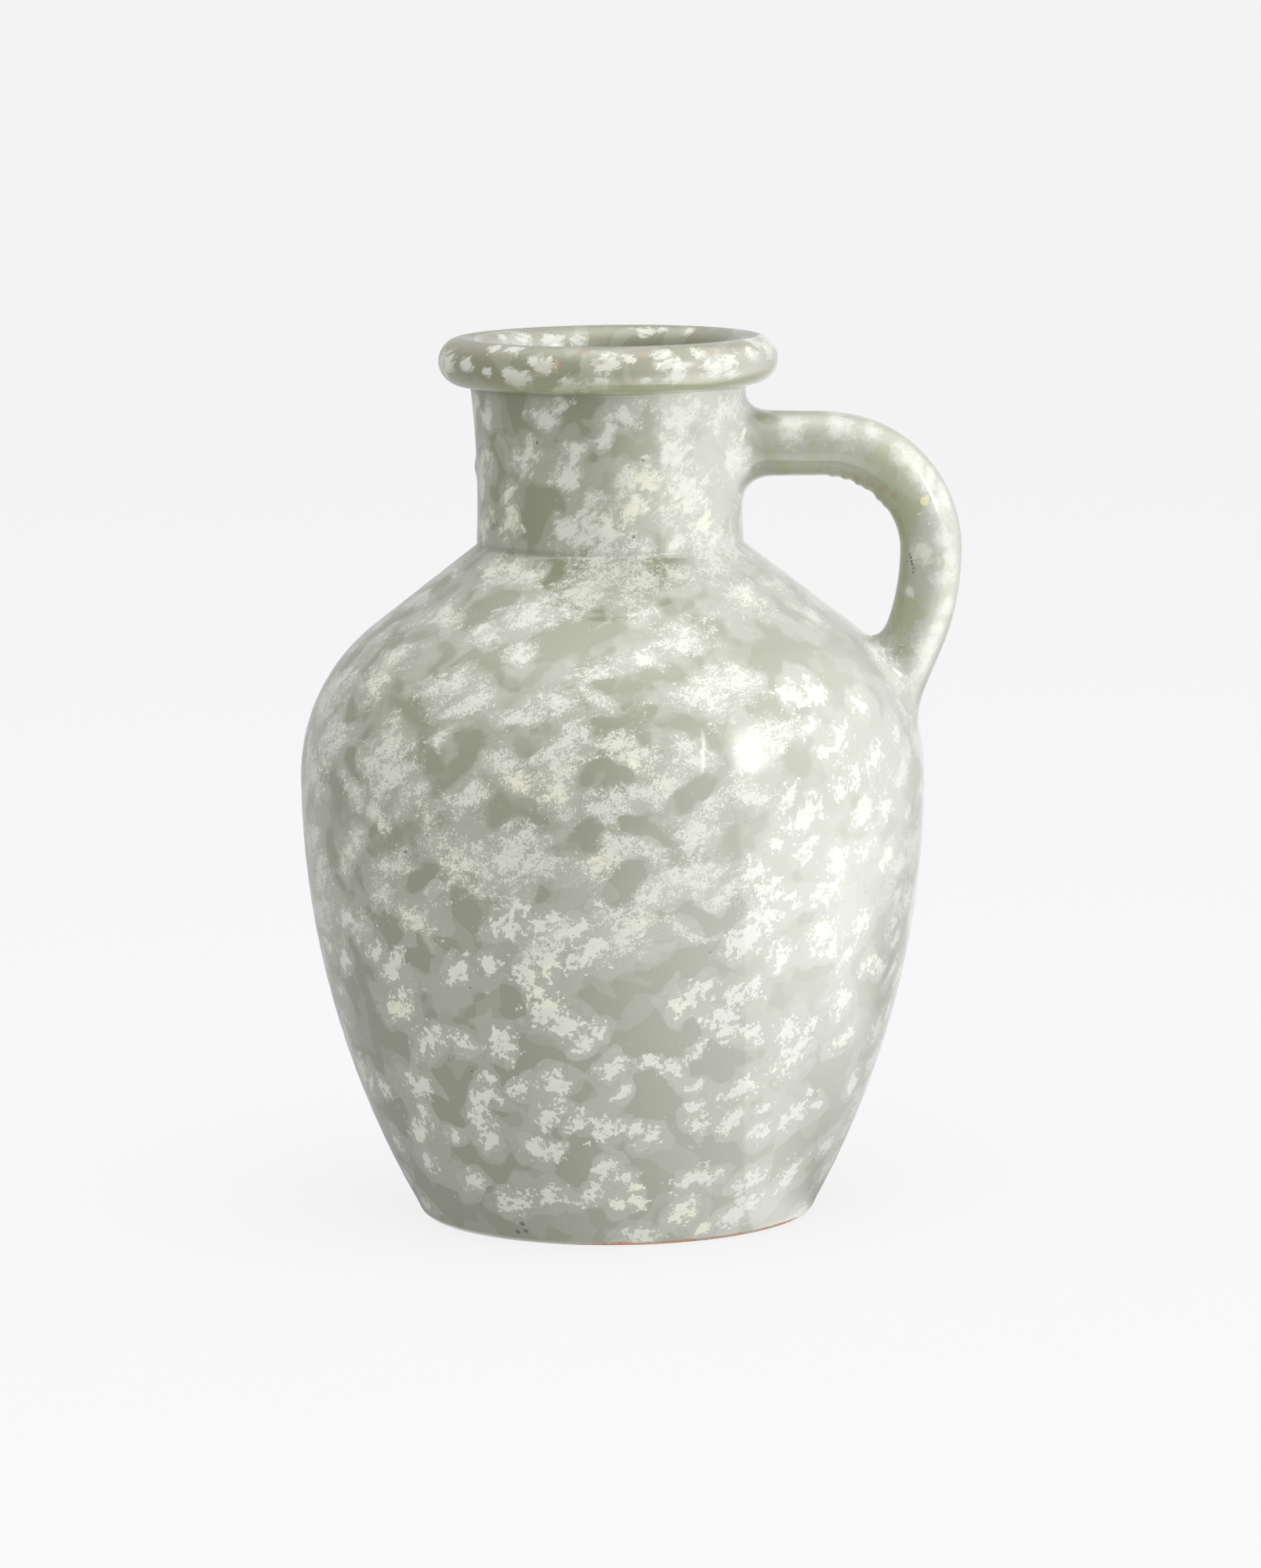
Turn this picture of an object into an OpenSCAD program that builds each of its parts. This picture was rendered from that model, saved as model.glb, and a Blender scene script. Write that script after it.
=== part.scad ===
// Glazed ceramic vase with one pulled handle: a thrown body in two halves, a neck, a rolled rim
// and a strap handle between two luted lugs. Millimetres, +Z up, origin at the middle of the foot.

/* [Body] */
// Radius of the belly at its widest ring
belly_r = 110; // [98:0.5:122]
// Height of the widest ring, where the two thrown halves are luted together
belly_z = 156; // [142:1:168]
// Radius of the wall at the floor, before the heel is rounded
base_r = 68.6; // [58:0.2:78]
// Radius of the rounded heel
heel_round = 4; // [2:0.5:6]
// Thickness of the body's wall
wall = 6; // [4:0.25:8]
// Thickness of the floor slab
floor_t = 9; // [7:0.5:12]
// Slope of the shoulder away from the vertical, in degrees
shoulder_slope = 52.3; // [49:0.1:56]
// Height of the bevel at each luted seam
seam_step = 3; // [1:0.5:4]

/* [Neck] */
// Height of the seam between shoulder and neck
neck_z = 237; // [228:1:246]
// Height of the neck, from the shoulder seam to the rim seam
neck_h = 54; // [50:1:60]
// Radius of the neck at its waist
neck_r = 46.7; // [42:0.1:51]
// Height of the waist above the shoulder seam
waist_rise = 19; // [14:1:24]
// How much wider the neck is at the rim than at its waist
neck_flare = 1.8; // [0.8:0.1:3]
// Thickness of the neck's wall at its waist
neck_wall = 5.7; // [4:0.1:7]

/* [Rim] */
// Radius of the rolled rim's round section
rim_round = 8.6; // [7.6:0.1:9.6]
// How far the roll's inner side stands back from the mouth's bore
mouth_ease = 1.5; // [0.5:0.1:2.5]
// Height of the roll's centre above the rim seam
rim_rise = 10.4; // [9.6:0.1:11.4]

/* [Handle] */
// Height of the handle's top run above the shoulder seam
handle_rise = 34.7; // [31:0.1:37]
// Distance from the vase's axis to the middle of the strap at its furthest
handle_reach = 112.3; // [104:0.1:122]
// Radius of the top bend, at the middle of the strap
bend_r = 37; // [33:0.5:40]
// Radius of the long lower sweep, at the middle of the strap
sweep_r = 82; // [74:1:95]
// How far the lower sweep turns in towards the belly, in degrees
sweep_turn = 22; // [19:1:25]
// Width of the strap
strap_w = 27; // [23:0.5:31]
// Thickness of the strap at the neck
strap_t_top = 23.3; // [20:0.1:25]
// Thickness of the strap at the belly
strap_t_end = 21.4; // [18:0.1:24]

/* [Lugs] */
// Length of the upper lug, from the neck out to the strap
upper_lug_l = 14; // [11:0.5:18]
// Length of the lower lug, from the shoulder out to the strap
lower_lug_l = 19; // [16:0.5:23]
// How far the upper lug spreads up the neck
upper_spread_out = 5; // [3:0.5:7]
// How far the upper lug spreads down the neck
upper_spread_in = 9; // [6:0.5:11]
// How far the lower lug spreads down the belly
lower_spread_out = 3; // [1:0.5:5]
// How far the lower lug spreads up the shoulder
lower_spread_in = 8; // [5:0.5:10]
// Gap to the wall within which the lugs spread
spread_reach = 11; // [8:0.5:13]

/* [Hidden] */
$fn = 240;
glaze = "#b3b8a6";
bare_clay = "#b9896a";

// Lower wall: one arc that stands upright at the belly and passes through base_r at the floor
lower_arc_r = (pow(belly_r - base_r, 2) + pow(belly_z, 2)) / (2 * (belly_r - base_r));
lower_arc_x = belly_r - lower_arc_r;

// Heel: an arc that touches the floor and the lower wall
heel_drop = belly_z - heel_round;
heel_mid = [lower_arc_x + sqrt(pow(lower_arc_r - heel_round, 2) - pow(heel_drop, 2)), heel_round];
heel_end = heel_mid + heel_round * (heel_mid - [lower_arc_x, belly_z]) / (lower_arc_r - heel_round);

// Neck: one hollow arc, narrowest at the waist
waist_z = neck_z + waist_rise;
rim_seam_z = neck_z + neck_h;
neck_top_r = neck_r + neck_flare;
neck_arc_r = (pow(neck_flare, 2) + pow(neck_h - waist_rise, 2)) / (2 * neck_flare);
neck_arc_x = neck_r + neck_arc_r;
neck_foot_r = neck_arc_x - sqrt(pow(neck_arc_r, 2) - pow(waist_rise, 2));
mouth_r = neck_r - neck_wall;
// Height of the shoulder's lip, on which the neck is luted
neck_lip = 0.6;

// Shoulder: an arc that stands upright at the belly, then a straight cone up to the neck's foot
shoulder_in = belly_r - neck_foot_r;
shoulder_up = neck_z - belly_z;
shoulder_dir = [cos(shoulder_slope), sin(shoulder_slope)];
upper_arc_r = (shoulder_up * shoulder_dir.y - shoulder_in * shoulder_dir.x) / (1 - shoulder_dir.x);
upper_arc_x = belly_r - upper_arc_r;
cone_start = [upper_arc_x, belly_z] + upper_arc_r * shoulder_dir;
void_cone_start = cone_start - wall * shoulder_dir;
void_cone_end_z = void_cone_start.y + (void_cone_start.x - mouth_r) / tan(shoulder_slope);

// Rolled rim
rim_x = mouth_r + mouth_ease + rim_round;
rim_z = rim_seam_z + rim_rise;
rim_top_z = rim_z + rim_round;

// Radius of an arc about [cx, cz] at height z, on its outer side
function arc_r(cx, cz, r, z) = cx + sqrt(max(0, r * r - pow(z - cz, 2)));

// Outer radius of the body and the neck at height z
function form_r(z) =
    z < belly_z ? arc_r(lower_arc_x, belly_z, lower_arc_r, z)
    : z < cone_start.y ? arc_r(upper_arc_x, belly_z, upper_arc_r, z)
    : z < neck_z ? cone_start.x - (z - cone_start.y) * tan(shoulder_slope)
    : neck_arc_x - sqrt(pow(neck_arc_r, 2) - pow(z - waist_z, 2));

// Inner radius of the body and the neck at height z
function void_r(z) =
    z < belly_z ? arc_r(lower_arc_x, belly_z, lower_arc_r - wall, z)
    : z < void_cone_start.y ? arc_r(upper_arc_x, belly_z, upper_arc_r - wall, z)
    : max(mouth_r, void_cone_start.x - (z - void_cone_start.y) * tan(shoulder_slope));

// Half-section parts: x is the radius and y is the height
wide = 2 * belly_r;

module strip(from, to, left = 0, right = wide)
    polygon([[left, from], [right, from], [right, to], [left, to]]);

module disc(x, y, r) translate([x, y]) circle(r);

// The belly's lower half, taken in by an inset
module lower_section(inset) intersection() {
    disc(lower_arc_x, belly_z, lower_arc_r - inset);
    strip(0, belly_z);
}

// What the rounded heel takes off the corner between floor and wall
module heel_waste() difference() {
    polygon([
        heel_mid, [heel_mid.x, -heel_round], [wide, -heel_round],
        [wide, heel_mid.y], heel_mid + 2 * (heel_end - heel_mid)
    ]);
    disc(heel_mid.x, heel_mid.y, heel_round);
}

// The belly's upper half and the shoulder's cone up to its end, taken in by an inset
module upper_section(inset, start, end) {
    intersection() {
        disc(upper_arc_x, belly_z, upper_arc_r - inset);
        strip(belly_z, start.y, start.x);
    }
    strip(belly_z, start.y, 0, start.x);
    polygon([[0, start.y], start, end, [0, end.y]]);
}

// The neck, filled to the axis
module neck_section() difference() {
    strip(neck_z, rim_seam_z + seam_step, 0, neck_top_r + neck_r);
    disc(neck_arc_x, waist_z, neck_arc_r);
}

// The whole outline of body, shoulder and neck, filled to the axis
module form_section() {
    difference() {
        lower_section(0);
        heel_waste();
    }
    upper_section(0, cone_start, [neck_foot_r, neck_z]);
    neck_section();
}

// The hollow inside the wall, with no floor, up through the mouth
module void_section() {
    lower_section(wall);
    upper_section(wall, void_cone_start, [mouth_r, void_cone_end_z]);
    strip(void_cone_end_z, rim_top_z, 0, mouth_r);
}

// Everything under a seam that slopes across the wall, from z_out at the outside to z_in at the inside.
// The slope runs on past the wall at both sides.
module under_seam(z_out, z_in) {
    outside = [form_r(z_out), z_out];
    inside = [void_r(z_in), z_in];
    past = (inside - outside) / 3;
    polygon([
        [0, -heel_round], [wide, -heel_round], [wide, outside.y - past.y],
        outside - past, inside + past, [0, inside.y + past.y]
    ]);
}

module under_base_seam() under_seam(floor_t - seam_step, floor_t);
module under_belly_seam() under_seam(belly_z - seam_step / 2, belly_z + seam_step / 2);
module under_neck_seam() under_seam(neck_z + neck_lip, neck_z + neck_lip + seam_step);
module under_rim_seam() under_seam(rim_seam_z, rim_seam_z + seam_step);

module wall_section() difference() {
    form_section();
    void_section();
}

module base_slab() color(bare_clay) rotate_extrude() difference() {
    intersection() {
        lower_section(0);
        under_base_seam();
        strip(0, floor_t);
    }
    heel_waste();
}

module lower_body() color(glaze) rotate_extrude() difference() {
    intersection() {
        wall_section();
        under_belly_seam();
    }
    under_base_seam();
}

module upper_body() color(glaze) rotate_extrude() difference() {
    intersection() {
        wall_section();
        under_neck_seam();
    }
    under_belly_seam();
}

module neck() color(glaze) rotate_extrude() difference() {
    intersection() {
        wall_section();
        under_rim_seam();
    }
    under_neck_seam();
}

module rim_roll() color(glaze) rotate_extrude() {
    disc(rim_x, rim_z, rim_round);
    polygon([
        [mouth_r, rim_seam_z + seam_step], [neck_top_r, rim_seam_z],
        [rim_x, rim_z], [rim_x - rim_round, rim_z]
    ]);
}

// Middle line of the strap in the XZ plane: along +X from the axis, round the bend, down the sweep,
// then straight on. s is the length along it, and the turn is the angle it has turned down by.
top_z = neck_z + handle_rise;
top_run_l = handle_reach - bend_r;
bend_l = bend_r * PI / 2;
sweep_l = sweep_r * sweep_turn * PI / 180;
sweep_s = top_run_l + bend_l;
straight_s = sweep_s + sweep_l;

function path_turn(s) =
    s < top_run_l ? 0
    : s < sweep_s ? (s - top_run_l) / bend_r * 180 / PI
    : s < straight_s ? 90 + (s - sweep_s) / sweep_r * 180 / PI
    : 90 + sweep_turn;

function path_at(s) =
    let (a = path_turn(s))
    s < top_run_l ? [s, top_z]
    : s < sweep_s ? [top_run_l + bend_r * sin(a), top_z - bend_r * (1 - cos(a))]
    : s < straight_s ? [handle_reach - sweep_r * (1 - sin(a)), top_z - bend_r + sweep_r * cos(a)]
    : [handle_reach - sweep_r * (1 - sin(a)), top_z - bend_r + sweep_r * cos(a)]
        + (s - straight_s) * [cos(a), -sin(a)];

// Gap between a point and the vase's outer wall, level with the point
function wall_gap(p) = norm([p.x, p.y]) - form_r(p.z);

// Where the middle line runs into the shoulder, found by halving the stretch it lies in
function wall_hit(low, high, steps) =
    let (mid = (low + high) / 2, p = path_at(mid))
    steps == 0 ? mid
    : wall_gap([p.x, 0, p.y]) > 0 ? wall_hit(mid, high, steps - 1)
    : wall_hit(low, mid, steps - 1);

upper_hit_s = form_r(top_z);
lower_hit_s = wall_hit(sweep_s, straight_s + belly_r / 2, 24);
strap_start_s = upper_hit_s + upper_lug_l;
strap_end_s = lower_hit_s - lower_lug_l;

// Strap thickness, which thins evenly from the neck to the belly
function strap_t(s) =
    let (share = min(1, max(0, (s - upper_hit_s) / (lower_hit_s - upper_hit_s))))
    strap_t_top + share * (strap_t_end - strap_t_top);

// A superellipse between an oval and a rounded strap
strap_power = 2.3;
function oval(a) = sign(a) * pow(abs(a), 2 / strap_power);

strap_sides = 32;

// One ring of the strap at s. Its points spread as they near the wall, by spread_out on the side
// away from the finger gap and by spread_in on the side towards it.
function strap_ring(s, spread_out, spread_in) =
    let (
        turn = path_turn(s),
        mid = path_at(s),
        out = [sin(turn), cos(turn)],
        half_t = strap_t(s) / 2
    )
    [for (i = [0:strap_sides - 1])
        let (
            angle = 360 * i / strap_sides,
            across = strap_w / 2 * oval(cos(angle)),
            above = half_t * oval(sin(angle)),
            plain = [mid.x + out.x * above, across, mid.y + out.y * above],
            near = max(0, 1 - max(0, wall_gap(plain)) / spread_reach),
            spread = (spread_out + spread_in) / 2 + sin(angle) * (spread_out - spread_in) / 2,
            grow = 1 + spread * near * near / norm([across, above])
        )
        [mid.x + out.x * above * grow, across * grow, mid.y + out.y * above * grow]];

// A closed solid through rings of equal count
module loft(rings) {
    n = len(rings[0]);
    last = len(rings) - 1;
    sides = [for (k = [0:last - 1], i = [0:n - 1], half = [0, 1])
        let (j = (i + 1) % n, low = k * n, high = (k + 1) * n)
        half == 0 ? [low + i, high + j, low + j] : [low + i, high + i, high + j]];
    start_cap = [[for (i = [0:n - 1]) i]];
    end_cap = [[for (i = [n - 1:-1:0]) last * n + i]];
    polyhedron([for (ring = rings) each ring], concat(sides, start_cap, end_cap));
}

function steps_between(from, to, count) = [for (k = [0:count]) from + (to - from) * k / count];

upper_lug_rings = 12;
lower_lug_rings = 14;
strap_rings = 36;

module upper_lug() color(glaze) difference() {
    loft([for (s = steps_between(neck_r * 0.7, strap_start_s, upper_lug_rings))
        strap_ring(s, upper_spread_out, upper_spread_in)]);
    rotate_extrude() neck_section();
}

module handle() color(glaze)
    loft([for (s = steps_between(strap_start_s, strap_end_s, strap_rings)) strap_ring(s, 0, 0)]);

module lower_lug() color(glaze) difference() {
    loft([for (s = steps_between(strap_end_s, lower_hit_s + 1.2 * strap_t_end, lower_lug_rings))
        strap_ring(s, lower_spread_out, lower_spread_in)]);
    rotate_extrude() form_section();
}

base_slab();
lower_body();
upper_body();
neck();
rim_roll();
upper_lug();
handle();
lower_lug();
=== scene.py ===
"""Looks of the sponged ceramic vase: thrown walls, rolled rim, pulled handle, glaze, light and camera."""

import logging
import math
from dataclasses import dataclass, field
from enum import Enum
from functools import reduce
from typing import Callable, NamedTuple, Union

import bpy
import numpy as np
from mathutils import Matrix


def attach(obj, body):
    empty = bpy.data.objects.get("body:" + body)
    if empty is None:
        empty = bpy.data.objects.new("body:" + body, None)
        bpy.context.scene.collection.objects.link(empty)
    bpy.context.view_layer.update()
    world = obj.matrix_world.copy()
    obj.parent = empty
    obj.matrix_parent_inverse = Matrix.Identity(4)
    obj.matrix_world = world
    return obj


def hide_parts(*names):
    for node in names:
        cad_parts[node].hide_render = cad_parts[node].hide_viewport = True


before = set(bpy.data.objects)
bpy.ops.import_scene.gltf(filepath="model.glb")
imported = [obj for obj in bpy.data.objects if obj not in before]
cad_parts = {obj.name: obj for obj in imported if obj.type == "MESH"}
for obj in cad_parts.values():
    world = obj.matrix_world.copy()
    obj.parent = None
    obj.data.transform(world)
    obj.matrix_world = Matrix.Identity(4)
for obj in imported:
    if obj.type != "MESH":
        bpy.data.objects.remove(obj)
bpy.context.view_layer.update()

log = logging.getLogger("vase")
Grid = np.ndarray
Pair = tuple[float, float]
Socket = bpy.types.NodeSocket
Piece = bpy.types.Object
Finish = bpy.types.Material
MILLI = 0.001
TURN = 2 * math.pi
LINE_STEP = 0.1


@dataclass(frozen=True)
class VaseSizes:
    """Sizes in millimetres and degrees, the same as those that the part's source is built from."""

    belly_r: float = 110.0
    belly_z: float = 156.0
    base_r: float = 68.6
    heel_round: float = 4.0
    wall: float = 6.0
    floor_t: float = 9.0
    shoulder_slope: float = 52.3
    seam_step: float = 3.0
    neck_z: float = 237.0
    neck_h: float = 54.0
    neck_r: float = 46.7
    waist_rise: float = 19.0
    neck_flare: float = 1.8
    neck_wall: float = 5.7
    neck_lip: float = 0.6
    rim_round: float = 8.6
    mouth_ease: float = 1.5
    rim_rise: float = 10.4
    handle_rise: float = 34.7
    handle_reach: float = 112.3
    bend_r: float = 37.0
    sweep_r: float = 82.0
    sweep_turn: float = 22.0
    strap_w: float = 27.0
    strap_t_top: float = 23.3
    strap_t_end: float = 21.4
    strap_power: float = 2.3
    upper_lug_l: float = 14.0
    lower_lug_l: float = 19.0

    @property
    def rim_seam_z(self) -> float:
        """Height of the seam under the rolled rim."""
        return self.neck_z + self.neck_h

    @property
    def mouth_r(self) -> float:
        """Radius of the mouth's bore."""
        return self.neck_r - self.neck_wall

    @property
    def neck_top_r(self) -> float:
        """Outer radius of the neck where it meets the rim."""
        return self.neck_r + self.neck_flare


def walk_line(start: Pair, end: Pair) -> Grid:
    """Points at even steps on a straight run, as rows of radius and height."""
    count = max(2, int(math.dist(start, end) / LINE_STEP) + 1)
    return np.linspace(start, end, count)


def walk_arc(middle: Pair, radius: float, start: float, end: float) -> Grid:
    """Points at even steps on an arc: the middle plus the radius at each angle.

    Args:
        middle: Radius and height of the arc's middle.
        radius: The arc's own radius.
        start: First angle in radians, from the outward direction towards +Z.
        end: Last angle in radians.

    Returns:
        Points as rows of radius and height.
    """
    count = max(3, int(abs(end - start) * radius / LINE_STEP) + 1)
    angle = np.linspace(start, end, count)
    return np.stack([middle[0] + radius * np.cos(angle), middle[1] + radius * np.sin(angle)], axis=1)


class Outline:
    """The half-section of the whole vase as one line, from the foot's middle round to the floor's middle.

    Straight runs and arcs are walked at even steps and then averaged with a bell curve along the
    line, so that each corner turns as softly as wet clay does. Lengths are in millimetres.
    """

    SOFTNESS = 0.8
    BELL_WIDTHS = 4
    SLOPE_STEP = 0.3
    HEEL_SWELL = 1.5
    HEEL_RUN = 3.0

    def __init__(self, sizes: VaseSizes) -> None:
        """Walks the line once and keeps its points and its lengths.

        Args:
            sizes: The vase's sizes.
        """
        v = self.sizes = sizes
        lower_r = ((v.belly_r - v.base_r) ** 2 + v.belly_z**2) / (2 * (v.belly_r - v.base_r))
        lower_mid = (v.belly_r - lower_r, v.belly_z)
        heel_rise = v.belly_z - v.heel_round
        heel_mid = (lower_mid[0] + math.sqrt((lower_r - v.heel_round) ** 2 - heel_rise**2), v.heel_round)
        heel_turn = math.atan2(-heel_rise, heel_mid[0] - lower_mid[0])

        waist_z = v.neck_z + v.waist_rise
        neck_arc_r = (v.neck_flare**2 + (v.neck_h - v.waist_rise) ** 2) / (2 * v.neck_flare)
        neck_mid_r = v.neck_r + neck_arc_r
        neck_heights = np.linspace(v.neck_z, v.rim_seam_z, int(v.neck_h / LINE_STEP))
        neck_radii = neck_mid_r - np.sqrt(neck_arc_r**2 - (neck_heights - waist_z) ** 2)
        neck_foot = (float(neck_radii[0]), v.neck_z)

        slope = math.radians(v.shoulder_slope)
        leaning = (math.cos(slope), math.sin(slope))
        shoulder_rise, shoulder_run = v.neck_z - v.belly_z, v.belly_r - neck_foot[0]
        upper_r = (shoulder_rise * leaning[1] - shoulder_run * leaning[0]) / (1 - leaning[0])
        upper_mid = (v.belly_r - upper_r, v.belly_z)
        cone = tuple(upper_mid[k] + upper_r * leaning[k] for k in (0, 1))
        inner_cone = tuple(cone[k] - v.wall * leaning[k] for k in (0, 1))
        bore_foot = (v.mouth_r, inner_cone[1] + (inner_cone[0] - v.mouth_r) / math.tan(slope))

        rim_mid = (v.mouth_r + v.mouth_ease + v.rim_round, v.rim_seam_z + v.rim_rise)
        rim_turn = math.atan2(v.rim_seam_z - rim_mid[1], v.neck_top_r - rim_mid[0])
        rim_low = (
            rim_mid[0] + v.rim_round * math.cos(rim_turn),
            rim_mid[1] + v.rim_round * math.sin(rim_turn),
        )
        rim_in = (rim_mid[0] - v.rim_round, rim_mid[1])
        rim_foot = (v.mouth_r, v.rim_seam_z + v.seam_step)
        inner_r = lower_r - v.wall
        floor_turn = math.asin((v.floor_t - v.belly_z) / inner_r)
        floor_edge = (lower_mid[0] + inner_r * math.cos(floor_turn), v.floor_t)

        raw = np.concatenate([
            walk_line((0.0, 0.0), (heel_mid[0], 0.0)),
            walk_arc(heel_mid, v.heel_round, -math.pi / 2, heel_turn),
            walk_arc(lower_mid, lower_r, heel_turn, 0.0),
            walk_arc(upper_mid, upper_r, 0.0, slope),
            walk_line(cone, neck_foot),
            np.stack([neck_radii, neck_heights], axis=1),
            walk_line((v.neck_top_r, v.rim_seam_z), rim_low),
            walk_arc(rim_mid, v.rim_round, rim_turn, math.pi),
            walk_line(rim_in, rim_foot),
            walk_line(rim_foot, bore_foot),
            walk_line(bore_foot, inner_cone),
            walk_arc(upper_mid, upper_r - v.wall, slope, 0.0),
            walk_arc(lower_mid, inner_r, 0.0, floor_turn),
            walk_line(floor_edge, (0.0, v.floor_t)),
        ])
        far = np.concatenate([[0.0], np.cumsum(np.hypot(*np.diff(raw, axis=0).T))])
        self.length = np.arange(0.0, far[-1], LINE_STEP)
        even = np.stack([np.interp(self.length, far, raw[:, k]) for k in (0, 1)], axis=1)
        half = int(self.BELL_WIDTHS * self.SOFTNESS / LINE_STEP)
        weights = np.exp(-0.5 * (np.arange(-half, half + 1) * LINE_STEP / self.SOFTNESS) ** 2)
        weights = weights / weights.sum()
        wide = np.pad(even, ((half, half), (0, 0)), mode="edge")
        self.line = np.stack([np.convolve(wide[:, k], weights, "valid") for k in (0, 1)], axis=1)
        self.line[[0, -1], 0] = 0.0
        self.rim_top = self.find(rim_mid[0], rim_mid[1] + v.rim_round)
        base_seam_z = v.floor_t - v.seam_step
        self.base_seam = (self.find(v.base_r + self.HEEL_SWELL, base_seam_z), self.find(*floor_edge))
        half_step = v.seam_step / 2
        self.belly_seam = (
            self.find(v.belly_r, v.belly_z - half_step), self.find(v.belly_r - v.wall, v.belly_z + half_step))
        lip_z = v.neck_z + v.neck_lip
        self.neck_seam = (self.find(neck_foot[0], lip_z), self.find(v.mouth_r, lip_z + v.seam_step))
        self.rim_seam = (self.find(v.neck_top_r, v.rim_seam_z), self.find(*rim_foot))

    def find(self, radius: float, height: float) -> float:
        """Length along the line to its point nearest a radius and a height."""
        return float(self.length[np.argmin(np.hypot(self.line[:, 0] - radius, self.line[:, 1] - height))])

    def at(self, length: Grid) -> tuple[Grid, Grid]:
        """Radius and height at lengths along the line."""
        radius, height = self.line.T
        return np.interp(length, self.length, radius), np.interp(length, self.length, height)

    def facing(self, length: Grid) -> tuple[Grid, Grid]:
        """Outward direction at lengths along the line: the line's slope turned right.

        Args:
            length: Lengths along the line.

        Returns:
            The radial and the upward part of the unit normal.
        """
        before, after = self.at(length - self.SLOPE_STEP), self.at(length + self.SLOPE_STEP)
        run, rise = after[0] - before[0], after[1] - before[1]
        size = np.maximum(np.hypot(run, rise), 1e-9)
        return rise / size, -run / size

    def mouth_wall_r(self, height: Grid) -> Grid:
        """Radius of the inner wall at heights between the neck's foot and the top of the rim."""
        inner = (self.length > self.rim_top) & (self.length < self.neck_seam[1])
        return np.interp(height, self.line[inner, 1][::-1], self.line[inner, 0][::-1])

    def wall_r(self, height: Grid) -> Grid:
        """Radius of the outer wall at heights between the heel and the top of the rim."""
        outer = (self.length > self.base_seam[0] - self.HEEL_RUN) & (self.length < self.rim_top)
        return np.interp(height, np.maximum.accumulate(self.line[outer, 1]), self.line[outer, 0])


@dataclass(frozen=True)
class Patch:
    """A grid of points with their normals; columns run round the piece and close on themselves."""

    points: Grid
    normals: Grid


def unit(vectors: Grid) -> Grid:
    """Vectors scaled to length one; a vector of no length stays so."""
    return vectors / np.maximum(np.linalg.norm(vectors, axis=-1, keepdims=True), 1e-12)


def round_axis(radius: Grid, angle: Grid, height: Grid) -> Grid:
    """Points at radii and angles round the axis, and at heights."""
    return np.stack([radius * np.cos(angle), radius * np.sin(angle), height], axis=-1)


def lay_patch(surface: Callable[[Grid], Grid], stops: Grid) -> Patch:
    """Evaluates a surface at rows, and its normals as the cross product of its two central differences.

    One more row on each side is worked out and dropped, so that neighbours in one surface agree
    on the normals of the row they share. A row that is a single point takes its neighbour's mean.

    Args:
        surface: Gives rows of points for an array of row values.
        stops: The row values, in order.

    Returns:
        The grid of points and normals.
    """
    wide = np.concatenate([[2 * stops[0] - stops[1]], stops, [2 * stops[-1] - stops[-2]]])
    points = surface(wide)
    along = points[2:] - points[:-2]
    across = (np.roll(points, -1, axis=1) - np.roll(points, 1, axis=1))[1:-1]
    normals = unit(np.cross(across, along))
    if np.abs(across[0]).max() < 1e-9:
        normals[0] = unit(normals[1].mean(axis=0))
    if np.abs(across[-1]).max() < 1e-9:
        normals[-1] = unit(normals[-2].mean(axis=0))
    return Patch(points[1:-1], normals)


def ruled(start: Grid, end: Grid) -> Patch:
    """A patch of straight lines between two rings or points: the start plus a share of the way to the end."""
    return lay_patch(lambda share: start + share[:, None, None] * (end - start), np.array([0.0, 1.0]))


def capped(tube: Patch) -> list[Patch]:
    """A tube with a flat cap at each end, a fan from the middle of the end's ring."""
    first, last = tube.points[0], tube.points[-1]
    return [ruled(first.mean(axis=0), first), tube, ruled(last, last.mean(axis=0))]


def put(name: str, data: bpy.types.ID) -> Piece:
    """Makes an object of a mesh, a lamp or a camera and links it to the scene."""
    made = bpy.data.objects.new(name, data)
    bpy.context.collection.objects.link(made)
    return made


class Ends(Enum):
    """How a run of patches closes: back onto its first row, or in a point at each end."""

    LOOP = "loop"
    POLES = "poles"


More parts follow.
